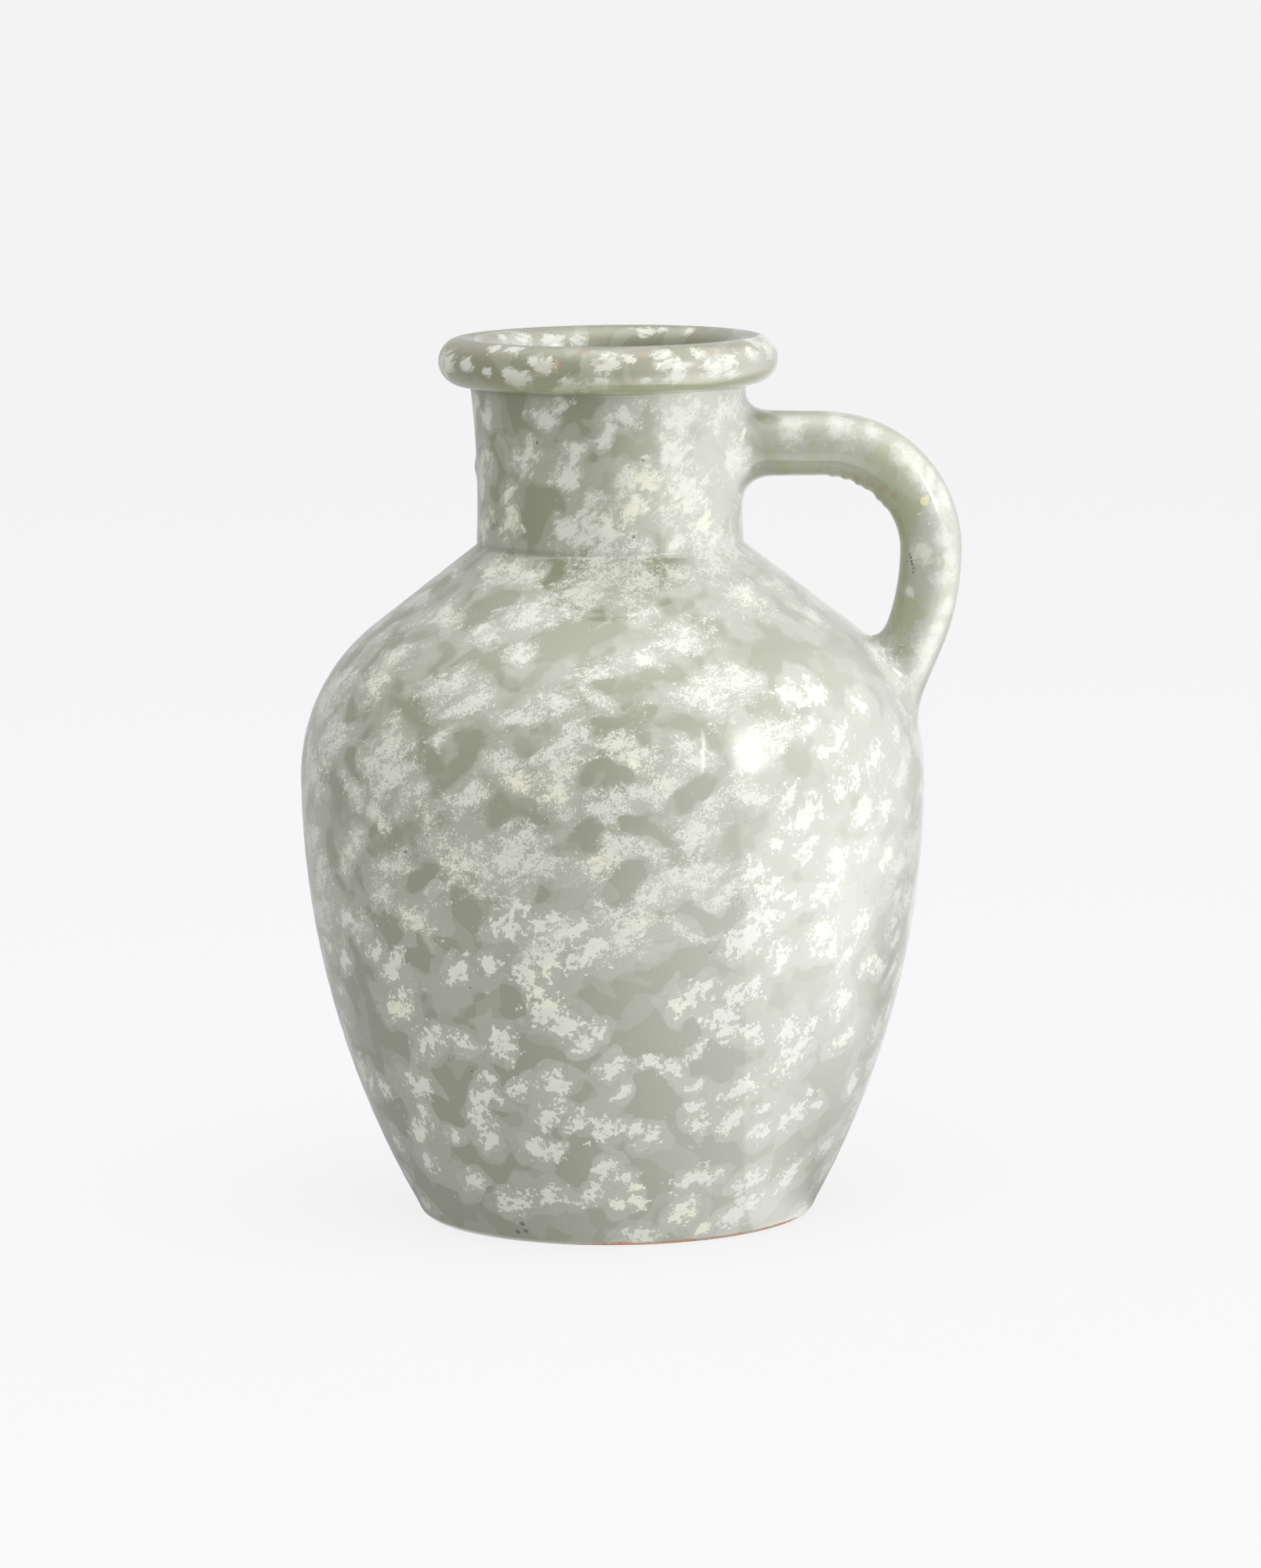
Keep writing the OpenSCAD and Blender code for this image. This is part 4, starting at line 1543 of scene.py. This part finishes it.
@dataclass(frozen=True)
class SpongedGlaze:
    """Gloss sage glaze under overlapping grey veils and chalky sponge touches.

    A cover is the share of what lies below that a coat hides. Rises and depths are in millimetres.
    """

    sage_low: Tint = Tint(133, 136, 116)
    sage_high: Tint = Tint(122, 127, 100)
    # The strap's sage is a little greener than the wall's, and paler as painted fill light over the handle's
    # shade.
    strap_sage_and_painted_fill: Tint = Tint(147, 152, 123)
    sage_rim: Tint = Tint(122, 120, 96)
    veil_one: Tint = Tint(153, 155, 141)
    veil_two: Tint = Tint(170, 172, 160)
    veil_high: Tint = Tint(143, 147, 127)
    chalk: Tint = Tint(207, 208, 197)
    cream: Tint = Tint(218, 218, 197)
    pool: Tint = Tint(84, 88, 62)
    moss: Tint = Tint(150, 154, 112)
    bead: Tint = Tint(205, 202, 148)
    speck: Tint = Tint(58, 50, 40)
    worn: Tint = Tint(146, 122, 94)
    pits: list[list[float]] = field(default_factory=list)
    beads: list[list[float]] = field(default_factory=list)
    spot_edge: Ramp = Ramp(1.3, 0.7)

    sage_rise: Ramp = Ramp(110.0, 235.0, 0.6)
    sage_neck_share: float = 0.9
    sage_drift: Ramp = Ramp(0.4, 0.65, 0.15)
    rim_drift: Ramp = Ramp(0.35, 0.6)

    veil_backs: tuple[tuple[Touch, float], ...] = (
        (Touch.DAB, 0.0), (Touch.CLOUD, 0.5), (Touch.FEATHER, 0.55), (Touch.FLECK, 0.9),
    )
    veil_clear: float = 1.2
    veil_clear_high: float = 0.6
    veil_strap: float = 0.4
    veil_rim: float = 0.2
    first_veil: Veil = Veil(0.78, Ramp(-1.07, -0.89), Ramp(0.2, 0.45))
    second_veil: Veil = Veil(0.5, Ramp(-0.43, -0.25), Ramp(0.1, 0.45))
    second_loss: float = 0.15
    third_veil: Veil = Veil(0.25, Ramp(0.1, 0.13), Ramp(0.04, 0.08))

    dab_swell: float = 0.85
    dab_start: float = 0.08
    dab_coat: Coat = Coat(-0.7, Ramp(0.24, 0.4), 0.95, 0.12)
    cloud_coat: Coat = Coat(-0.8, Ramp(0.2, 0.85), 0.83)
    cloud_clear: float = 1.5
    haze_edge: Ramp = Ramp(-0.4, 0.9, 0.38)
    feather_coat: Coat = Coat(-0.8, Ramp(0.14, 0.85), 0.8, 0.12)
    feather_clear: float = 0.8
    feather_calm: float = 0.45
    fleck_coat: Coat = Coat(-0.9, Ramp(0.06, 0.62), 0.77)
    cream_drift: Ramp = Ramp(0.54, 0.66)
    white_cover: float = 0.96

    wear_coat: Coat = Coat(-1.0, Ramp(0.05, 0.8), 0.48, 0.3)
    speck_apart: float = 14.0
    speck_edge: Ramp = Ramp(0.5, 0.3)
    speck_rarity: float = 0.9
    speck_cover: float = 0.75
    bead_cover: float = 0.8

    base_rough: float = 0.36
    white_rough: float = 0.06
    white_rise: float = 0.05
    veil_rise: float = 0.02
    slow_rise: float = 0.1
    speck_depth: float = 0.2
    bead_rise: float = 0.8

    def spots(self, marks: SpongePatterns, rows: list[list[float]]) -> Wire:
        """Small round spots with soft edges.

        Args:
            marks: The glaze's patterns.
            rows: X, Y, Z and reach of each spot.

        Returns:
            One inside a spot, zero away from all of them.
        """
        edge = self.spot_edge
        away = [(marks.bench.distance(marks.place, row[:3]), row[3]) for row in rows]
        spots = [distance.ease(reach * edge.low, reach * edge.high) for distance, reach in away]
        return reduce(Wire.most, spots)

    def sage(self, marks: SpongePatterns) -> Socket:
        """The ground: greyer low down, greener on the neck, a little greener on the strap and paler there as
        painted fill light over the handle's shade, and browner on the rim.

        Args:
            marks: The glaze's patterns.

        Returns:
            Its colour.
        """
        bench = marks.bench
        drift = bench.noise(marks.place, size=60.0).ease(*self.sage_drift)
        rise = marks.z.ease(*self.sage_rise)
        share = (marks.high * self.sage_neck_share).most(rise) + drift
        colour = bench.mixed(self.sage_low.linear(), self.sage_high.linear(), share)
        # Painted fill light: the strap's paler sage lifts the handle's shade.
        colour = bench.mixed(colour, self.strap_sage_and_painted_fill.linear(), marks.strap)
        brown = bench.noise(marks.place, size=16.0).ease(*self.rim_drift)
        return bench.mixed(colour, self.sage_rim.linear(), marks.rim * brown)

    def veiled(self, marks: SpongePatterns, ground: Socket) -> tuple[Socket, Wire]:
        """Lays three veils with lobed edges, close round the touches and drawn back from clear places.

        Args:
            marks: The glaze's patterns.
            ground: Colour of the ground.

        Returns:
            The veiled colour and the veils' height.
        """
        bench, high = marks.bench, marks.high
        laid = reduce(Wire.most, [marks.touch[touch] - back for touch, back in self.veil_backs])
        laid = laid - marks.bare * (self.veil_clear - high * self.veil_clear_high)
        laid = laid - marks.strap * self.veil_strap - marks.rim * self.veil_rim
        first = self.first_veil.lies(marks.roughened(laid, blob=5.0, torn=0.5), marks.upper)
        second = self.second_veil.lies(marks.roughened(laid, drop=5.0, torn=0.5), marks.upper)
        third = self.third_veil.lies(marks.roughened(0.0, blob=1.6, drop=-1.6, torn=0.2), marks.upper)
        brushed = marks.roughened(1.0, wisp=0.7)
        grey = bench.mixed(self.veil_one.linear(), self.veil_high.linear(), high * (1.0 - marks.strap))
        second_cover = self.second_veil.cover - high * self.second_loss
        colour = bench.mixed(ground, grey, first * self.first_veil.cover * brushed)
        colour = bench.mixed(colour, self.veil_two.linear(), second * second_cover * brushed)
        colour = bench.mixed(colour, self.veil_two.linear(), third * self.third_veil.cover)
        return colour, (first + second) * self.veil_rise

    def whites(self, marks: SpongePatterns) -> tuple[Wire, Wire]:
        """The chalky touches, and the haze that lies round the clouds.

        They are spiky dabs low down, stippled clouds on the shoulder, feathered patches on neck and
        strap and flecks on the rim, each with its edge torn by its own patterns.

        Args:
            marks: The glaze's patterns.

        Returns:
            Cover of the touches, and cover of the haze.
        """
        kinds = (Touch.DAB, Touch.CLOUD, Touch.FEATHER, Touch.FLECK)
        dab, cloud, feather, fleck = (marks.touch[kind] for kind in kinds)
        dab = (dab * self.dab_swell + self.dab_start).most(self.dab_coat.least)
        dab = marks.roughened(dab, torn=3.6, frill=2.6, grain=1.0)
        density = cloud.most(self.cloud_coat.least) - marks.bare * self.cloud_clear
        density = marks.roughened(density, press=1.7, wisp=0.8)
        cloud = marks.roughened(density, torn=2.9, foam=3.8, grain=1.6)
        haze = marks.roughened(density, torn=1.6)
        ragged = marks.roughened(0.0, torn=2.8, smear=1.1, grain=1.1)
        ragged = ragged * (1.0 - marks.strap * self.feather_calm)
        feather = feather.most(self.feather_coat.least) - marks.bare * self.feather_clear + ragged
        fleck = marks.roughened(fleck.most(self.fleck_coat.least), torn=2.6, wisp=1.6, grain=1.0)
        white = reduce(Wire.most, [
            self.dab_coat.laid(dab, marks.upper),
            self.cloud_coat.laid(cloud, 0.0),
            self.feather_coat.laid(feather, marks.strap),
            self.fleck_coat.laid(fleck, 0.0),
        ])
        return white, haze.ease(*self.haze_edge)

    def look(self, bench: Bench) -> GlazeLook:
        """Lays the glaze coat by coat: sage, veils, touches, then moss, wear, specks, pools and beads.

        Args:
            bench: The material's bench.

        Returns:
            Colour, roughness and height of the glaze.
        """
        marks = SpongePatterns(bench)
        colour, veil_height = self.veiled(marks, self.sage(marks))
        white, haze = self.whites(marks)
        creamy = bench.noise(marks.place, size=26.0).ease(*self.cream_drift)
        tint = bench.mixed(self.chalk.linear(), self.cream.linear(), creamy)
        worn = marks.touch[Touch.WEAR].most(self.wear_coat.least)
        worn = self.wear_coat.laid(marks.roughened(worn, torn=3.0, grain=1.0), white)
        distance, chance = bench.cells(marks.place, self.speck_apart)
        speck = distance.ease(*self.speck_edge) * chance.above(self.speck_rarity)
        speck = speck.most(self.spots(marks, self.pits))
        bead = self.spots(marks, self.beads)
        coats = (
            (self.veil_two.linear(), haze),
            (tint, white * marks.roughened(self.white_cover, wisp=0.5)),
            (self.moss.linear(), bench.mask("moss")),
            (self.worn.linear(), worn),
            (self.speck.linear(), speck * self.speck_cover),
            (self.pool.linear(), bench.mask("pool")),
            (self.bead.linear(), bead * self.bead_cover),
        )
        for coat, cover in coats:
            colour = bench.mixed(colour, coat, cover)
        rough = marks.roughened(self.base_rough + white * self.white_rough, torn=0.08)
        height = white * self.white_rise + veil_height + bench.noise(marks.place, size=11.0) * self.slow_rise
        return GlazeLook(colour, rough, height - speck * self.speck_depth + bead * self.bead_rise)

    def make(self, name: str) -> Finish:
        """The glaze as a material."""
        bench = Bench(bpy.data.materials.new(name))
        return self.look(bench).coated(bench, 1.0)


@dataclass(frozen=True)
class BareFoot:
    """The foot slab: bare terracotta under the foot and in a line at its edge, glaze above that.

    The glaze's line sways, and it is drawn lower on the side away from the handle.
    """

    glaze: SpongedGlaze
    clay: Tint = Tint(198, 154, 124)
    clay_dark: Tint = Tint(154, 108, 80)
    line_sway: float = 3.0
    line_edge: Ramp = Ramp(1.5, 0.9)
    drawn: Ramp = Ramp(8.0, -28.0, 1.3)
    sole_edge: Ramp = Ramp(0.3, 0.1)
    grit_edge: Ramp = Ramp(0.4, 0.75)
    grit_rise: float = 0.15
    clay_rough: float = 0.85

    def make(self, name: str) -> Finish:
        """Mixes clay into the glaze below an uneven line.

        Args:
            name: Name of the material.

        Returns:
            The finished material.
        """
        bench = Bench(bpy.data.materials.new(name))
        look = self.glaze.look(bench)
        place = bench.place()
        side, _, height = bench.parts(place)
        uneven = (bench.noise(place, size=14.0, detail=3.0) - 0.5) * self.line_sway
        line = height + uneven + side.ease(*self.drawn)
        bare = line.ease(*self.line_edge).most(height.ease(*self.sole_edge))
        grit = bench.noise(place, size=1.1, detail=3.0, rough=0.7)
        clay = bench.mixed(self.clay.linear(), self.clay_dark.linear(), grit.ease(*self.grit_edge))
        foot = GlazeLook(
            bench.mixed(look.colour, clay, bare),
            look.rough * (1.0 - bare) + bare * self.clay_rough,
            look.height * (1.0 - bare) + grit * bare * self.grit_rise,
        )
        return foot.coated(bench, 1.0 - bare)


@dataclass
class Vase:
    """The whole vase: its turned pieces and its handle, dressed and tied to the frame."""

    sizes: VaseSizes
    outline: Outline = field(init=False)
    path: HandlePath = field(init=False)
    sponge: SpongeWork = field(init=False)
    strap_gap: Ramp = Ramp(2.0, 14.0)
    strap_top: float = 290.0
    crease_run: float = 2.0
    rim_pool: Ridge = Ridge(0.0, 0.75, 0.9)
    neck_pool: Ridge = Ridge(0.0, 0.45, 1.0)
    neck_pool_rise: float = 0.4
    moss_line: Ridge = Ridge(2.5, 1.0, 3.2)
    moss_inset: float = 1.0
    moss_even: float = 0.5
    moss_lean: float = 0.3
    moss_turn: float = 0.6
    pieces: dict[str, Piece] = field(default_factory=dict)
    nodes: dict[str, str] = field(default_factory=lambda: {
        "foot_slab": "base_slab",
        "lower_wall": "lower_body",
        "shoulder_wall": "upper_body",
        "neck_wall": "neck",
        "rolled_rim": "rim_roll",
        "neck_root": "upper_lug",
        "strap": "handle",
        "shoulder_root": "lower_lug",
    })
    handle_pieces: tuple[str, ...] = ("neck_root", "strap", "shoulder_root")

    def build(self) -> None:
        """Builds the turned pieces, then the handle, and lays the sponge's touches."""
        self.outline = Outline(self.sizes)
        self.path = HandlePath(self.outline)
        self.pieces.update(ThrownBody(self.outline).build())
        self.pieces.update(PulledHandle(self.path).build())
        self.sponge = SpongeWork(self.outline, self.path, PhotoView())
        self.sponge.lay()

    def masks(self, points: Grid, on_wall: bool) -> dict[str, Grid]:
        """Soft masks at points: strap, pooled glaze, moss, climb and each kind of sponge touch.

        Strap rises with the gap to the wall. Pooling is a bell round the crease under the rim and
        round the neck's foot, and moss a bell above that crease, strongest at one side.

        Args:
            points: Points in millimetres.
            on_wall: Whether they belong to the wall and not to the handle.

        Returns:
            One value for each point, by the mask's name.
        """
        x, y, z = points.T
        radius, turn = np.hypot(x, y), np.arctan2(y, x)
        gap = radius - self.outline.wall_r(z)
        crease_r, crease_z = self.outline.at(np.array([self.outline.rim_seam[0] + self.crease_run]))
        under_rim = self.rim_pool.of(np.hypot(radius - crease_r, z - crease_z))
        neck_foot = self.neck_pool.of(np.hypot(gap, z - self.sizes.neck_z - self.neck_pool_rise))
        moss = self.moss_line.of(z - crease_z) * (radius > crease_r - self.moss_inset)
        return {
            "strap": self.strap_gap.of(gap) * (z < self.strap_top),
            "pool": np.maximum(under_rim, neck_foot),
            "moss": moss * (self.moss_even + self.moss_lean * np.cos(turn + self.moss_turn)),
            "climb": self.sponge.climb(z) * on_wall,
            **{touch.value: self.sponge.field(touch, points) for touch in Touch},
        }

    def mark(self, piece: Piece) -> None:
        """Writes the masks on a piece's points."""
        mesh = piece.data
        points = np.empty(len(mesh.vertices) * 3, dtype=np.float32)
        mesh.vertices.foreach_get("co", points)
        points = points.reshape(-1, 3).astype(float) / MILLI
        for name, mask in self.masks(points, piece.name not in self.handle_pieces).items():
            layer = mesh.attributes.new(name, "FLOAT", "POINT")
            layer.data.foreach_set("value", mask.astype(np.float32))

    def dress(self) -> None:
        """Gives every piece its finish, its body, its node and its slot."""
        pits, beads = (self.sponge.touches[flaw].tolist() for flaw in (Flaw.PIT, Flaw.BEAD))
        glaze = SpongedGlaze(pits=pits, beads=beads)
        finishes = {"glaze": glaze.make("sponged_glaze"), "bare_clay": BareFoot(glaze).make("bare_foot")}
        for name, piece in self.pieces.items():
            slot = "bare_clay" if name == "foot_slab" else "glaze"
            self.mark(piece)
            piece.data.materials.append(finishes[slot])
            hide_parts(self.nodes[name])
            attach(piece, "root")
            piece.visible_glossy = name not in self.handle_pieces
            log.info("%s: %d faces, stands for %s", name, len(piece.data.polygons), self.nodes[name])


MIDDLE = (0.0, 0.0, 0.16)


@dataclass(frozen=True)
class Softbox:
    """An evenly lit panel for the shading, which the gloss doesn't show.

    Its place is an angle round the vase from the camera's side, a rise and a distance. Its
    brightness is that of the panel's own face, where 1 is white and takes the watts a square metre.
    """

    name: str
    round_deg: float
    rise_deg: float
    away: float
    wide: float
    high: float
    bright: float
    watts_a_metre: float = 4.0

    def build(self) -> None:
        """Makes the lamp, turned to look at the middle of the vase."""
        data = bpy.data.lights.new(self.name, "AREA")
        data.shape = "RECTANGLE"
        data.size = self.wide
        data.size_y = self.high
        data.energy = self.bright * self.watts_a_metre * self.wide * self.high
        lamp = put(self.name, data)
        turn, rise = math.radians(self.round_deg), math.radians(self.rise_deg)
        aim = Matrix.Rotation(turn, 4, "Z") @ Matrix.Rotation(math.pi / 2 - rise, 4, "X")
        lamp.matrix_world = Matrix.Translation(MIDDLE) @ aim @ Matrix.Translation((0.0, 0.0, self.away))
        lamp.visible_camera = False
        lamp.visible_glossy = False


@dataclass(frozen=True)
class LightTent:
    """The lit cloth round the vase, which only its gloss shows: a bright side to the right and a dim rest.

    Angles are in degrees. Turn goes round the vase from the camera's side towards its right, and rise
    goes up from the table, which lies below 0 and is nearest at -90. Lengths are in metres.
    """

    dim: float
    view: PhotoView
    radius: float = 2.0
    inner: float = 0.0695
    lift: float = 0.0004
    turns: int = 720
    table_rows: int = 24
    wall_rows: int = 61

    camera_share: float = 0.56
    camera_ramp: Ramp = Ramp(65.0, 180.0)
    bright: float = 4.9
    climb_part: float = 0.56
    climb_start: float = -14.0
    climb_sooner: Ramp = Ramp(-30.0, -62.0, 22.0)
    climb_end: float = 45.0
    panel: Ramp = Ramp(47.5, 48.5, 0.25)
    core: Ramp = Ramp(47.5, 62.0, 0.14)
    low_gain: Ramp = Ramp(-14.0, -40.0, 0.24)

    fall_start: float = 78.0
    fall_end: float = 130.0
    fall_later: tuple[Ramp, Ramp] = (Ramp(-65.0, -15.0, 30.0), Ramp(12.0, 40.0, 14.0))
    near: Ramp = Ramp(95.0, 40.0, 0.72)
    table: Ramp = Ramp(-86.0, -50.0)
    over_loss: Ramp = Ramp(34.0, 78.0, 0.8)

    lean: float = 0.28
    lean_rise: float = 26.0
    hot: float = 6.0
    hot_turn: Band = Band(Ramp(48.5, 53.5), Ramp(59.0, 68.0))
    hot_rise: Band = Band(Ramp(12.0, 23.0), Ramp(34.0, 40.0))
    streak: Ridge = Ridge(38.2, 9.0, 0.7)
    streak_rise: Band = Band(Ramp(18.0, 24.0), Ramp(38.0, 42.0))

    roof: Ramp = Ramp(42.0, 90.0, 2.25)
    shade_turn: Ramp = Ramp(-30.0, -100.0, 0.42)
    shade_rise: Ramp = Ramp(60.0, 20.0)
    contact: float = 0.25
    contact_turn: Ramp = Ramp(40.0, 110.0, 0.17)
    contact_rise: Ramp = Ramp(-66.0, -88.0)

    def side(self, turn: Grid, rise: Grid) -> Grid:
        """The bright side: a slow climb from the front, a step at the panel's edge and a core behind that.

        A hot patch and a thin streak, both leaning, are added by the panel's edge. All of it falls
        away behind the vase, on the table and overhead.

        Args:
            turn: Angles round the vase.
            rise: Angles above the table.

        Returns:
            Brightness, where 1 is white.
        """
        start = self.climb_start - self.climb_sooner.of(rise)
        climb = self.climb_part * step_between(turn, start, self.climb_end)
        panel = self.panel.of(turn) + self.core.of(turn)
        plumb = turn - self.lean * (rise - self.lean_rise)
        hot = self.hot * self.hot_turn.of(plumb) * self.hot_rise.of(rise)
        streak = self.streak.of(plumb) * self.streak_rise.of(rise)
        end = self.fall_end + sum(later.of(rise) for later in self.fall_later)
        near = self.near.of(turn)
        kept = (1 - step_between(turn, self.fall_start, end)) * (near + (1 - near) * self.table.of(rise))
        kept = kept * (1 - self.over_loss.of(rise))
        low = 1 + self.low_gain.of(rise)
        return (self.bright * (climb + panel) * low + hot + streak) * kept

    def glow(self, turn: Grid, rise: Grid) -> Grid:
        """Brightness of the cloth: a dim ground, the bright side and a roof.

        The ground is darker at the left, and on the table close to the foot.

        Args:
            turn: Angles round the vase, from -180 to 180.
            rise: Angles above the table.

        Returns:
            Brightness, where 1 is white.
        """
        shade = 1 - self.shade_turn.of(turn) * self.shade_rise.of(rise)
        contact = self.contact + self.contact_turn.of(turn)
        ground = self.dim * shade * (1 - contact * self.contact_rise.of(rise))
        return ground + self.side(turn, rise) + self.roof.of(rise)

    def share(self, points: Grid) -> Grid:
        """Share of the brightness that is used: least on the camera's side and all of it behind the vase.

        Args:
            points: Points of the cloth.

        Returns:
            One share for each point.
        """
        middle = np.array(MIDDLE)
        towards = unit(np.array(self.view.matrix().translation) - middle)
        apart = np.degrees(np.arccos(np.clip(unit(points - middle) @ towards, -1.0, 1.0)))
        return self.camera_share + (1 - self.camera_share) * self.camera_ramp.of(apart)

    def cloth(self) -> Piece:
        """The cloth's mesh: a profile, out along the table and up a round wall, spun and lit by its points.

        Returns:
            The new object, with its brightness as an attribute.
        """
        turn = np.linspace(-180.0, 180.0, self.turns + 1)[:-1]
        out = np.linspace(0.0, 1.0, self.table_rows)
        rise = np.concatenate([-90.0 + 90.0 * out, np.linspace(1.0, 90.0, self.wall_rows)])
        lift = np.radians(np.maximum(rise, 0.0))
        along_table = self.inner + (self.radius - self.inner) * (1 + rise / 90.0) ** 2
        reach = np.where(rise <= 0.0, along_table, self.radius * np.cos(lift))
        height = self.lift + self.radius * np.sin(lift)
        way = np.radians(turn)[None, :]
        points = np.stack([
            reach[:, None] * np.sin(way),
            -reach[:, None] * np.cos(way),
            np.broadcast_to(height[:, None], (len(rise), len(turn))),
        ], axis=-1)
        index = np.arange(points.shape[0] * points.shape[1]).reshape(points.shape[:2])
        beside = np.roll(index, -1, axis=1)
        faces = np.stack([index[:-1], index[1:], beside[1:], beside[:-1]], axis=-1).reshape(-1, 4)
        mesh = bpy.data.meshes.new("light_tent")
        mesh.from_pydata(points.reshape(-1, 3).tolist(), [], faces.tolist())
        glow = self.glow(turn[None, :], rise[:, None]) * self.share(points)
        layer = mesh.attributes.new("glow", "FLOAT", "POINT")
        layer.data.foreach_set("value", glow.astype(np.float32).ravel())
        return put("light_tent", mesh)

    def build(self) -> None:
        """Makes the cloth, gives it its light and hides it from all but the gloss."""
        tent = self.cloth()
        bench = Bench(bpy.data.materials.new("lit_cloth"))
        carried = bench.node("ShaderNodeAttribute", {"attribute_name": "glow"}, {})
        light = bench.node("ShaderNodeEmission", {}, {"Color": carried.outputs["Color"], "Strength": 1.0})
        bench.node("ShaderNodeOutputMaterial", {}, {"Surface": light.outputs[0]})
        bench.owner.cycles.emission_sampling = "NONE"
        tent.data.materials.append(bench.owner)
        for sight in ("camera", "diffuse", "transmission", "volume_scatter", "shadow"):
            setattr(tent, f"visible_{sight}", False)


@dataclass(frozen=True)
class Studio:
    """Pale floor, pale surroundings and soft lamps."""

    backdrop: float = 0.936
    fill: float = 0.7235
    floor_half: float = 30.0
    floor_lit: float = 0.1
    floor_glow: float = 0.63
    floor_pale: float = 0.922
    floor_paint: float = 0.88
    shows: tuple[str, ...] = ("Camera", "Glossy", "Transmission")
    lamps: tuple[Softbox, ...] = (
        Softbox("front_shade", round_deg=-4.0, rise_deg=40.0, away=2.2, wide=2.0, high=2.0, bright=0.64),
        Softbox("top_shade", round_deg=40.0, rise_deg=76.0, away=2.2, wide=2.0, high=2.0, bright=2.13),
    )

    def grey(self, bright: float) -> tuple[float, float, float, float]:
        """A grey of that brightness."""
        return (bright, bright, bright, 1.0)

    def seen(self, bench: Bench) -> Wire:
        """One for rays that show the surroundings: from the camera, in gloss and through glass."""
        rays = bench.node("ShaderNodeLightPath", {}, {}).outputs
        return reduce(Wire.most, [Wire(bench, rays[f"Is {kind} Ray"]) for kind in self.shows])

    def floor(self) -> None:
        """A wide flat floor that shows as a pale ground and still takes a soft shadow."""
        bench = Bench(bpy.data.materials.new("pale_floor"))
        seen = self.seen(bench)
        lit = bench.node("ShaderNodeBsdfDiffuse", {}, {"Color": self.grey(self.floor_paint)})
        glow = bench.node("ShaderNodeEmission", {}, {"Color": self.grey(self.floor_pale), "Strength": 1.0})
        share = (seen * (1.0 - self.floor_lit)).most(self.floor_glow)
        both = bench.node("ShaderNodeMixShader", {}, {0: share, 1: lit.outputs[0], 2: glow.outputs[0]})
        bench.node("ShaderNodeOutputMaterial", {}, {"Surface": both.outputs[0]})
        half = self.floor_half
        mesh = bpy.data.meshes.new("floor")
        corners = [(-half, -half, 0), (half, -half, 0), (half, half, 0), (-half, half, 0)]
        mesh.from_pydata(corners, [], [(0, 1, 2, 3)])
        mesh.materials.append(bench.owner)
        put("floor", mesh)

    def surroundings(self) -> None:
        """Even grey light from all round, which shows as pale as the floor."""
        bench = Bench(bpy.data.worlds.new("surroundings"))
        colour = bench.mixed(self.grey(self.fill), self.grey(self.backdrop), self.seen(bench))
        ground = bench.node("ShaderNodeBackground", {}, {"Color": colour})
        bench.node("ShaderNodeOutputWorld", {}, {"Surface": ground.outputs[0]})
        bpy.context.scene.world = bench.owner

    def build(self) -> None:
        """Sets the plain view, then builds floor, surroundings, lamps and tent."""
        bpy.context.scene.view_settings.view_transform = "Standard"
        self.floor()
        self.surroundings()
        for lamp in self.lamps:
            lamp.build()
        LightTent(self.backdrop, PhotoView()).build()


def main() -> None:
    """Builds the vase, the studio and the camera; the imported parts stay in the scene, hidden."""
    logging.basicConfig(level=logging.INFO, format="%(name)s: %(message)s")
    vase = Vase(VaseSizes())
    vase.build()
    vase.dress()
    Studio().build()
    PhotoView().build()


if __name__ == "__main__":
    main()
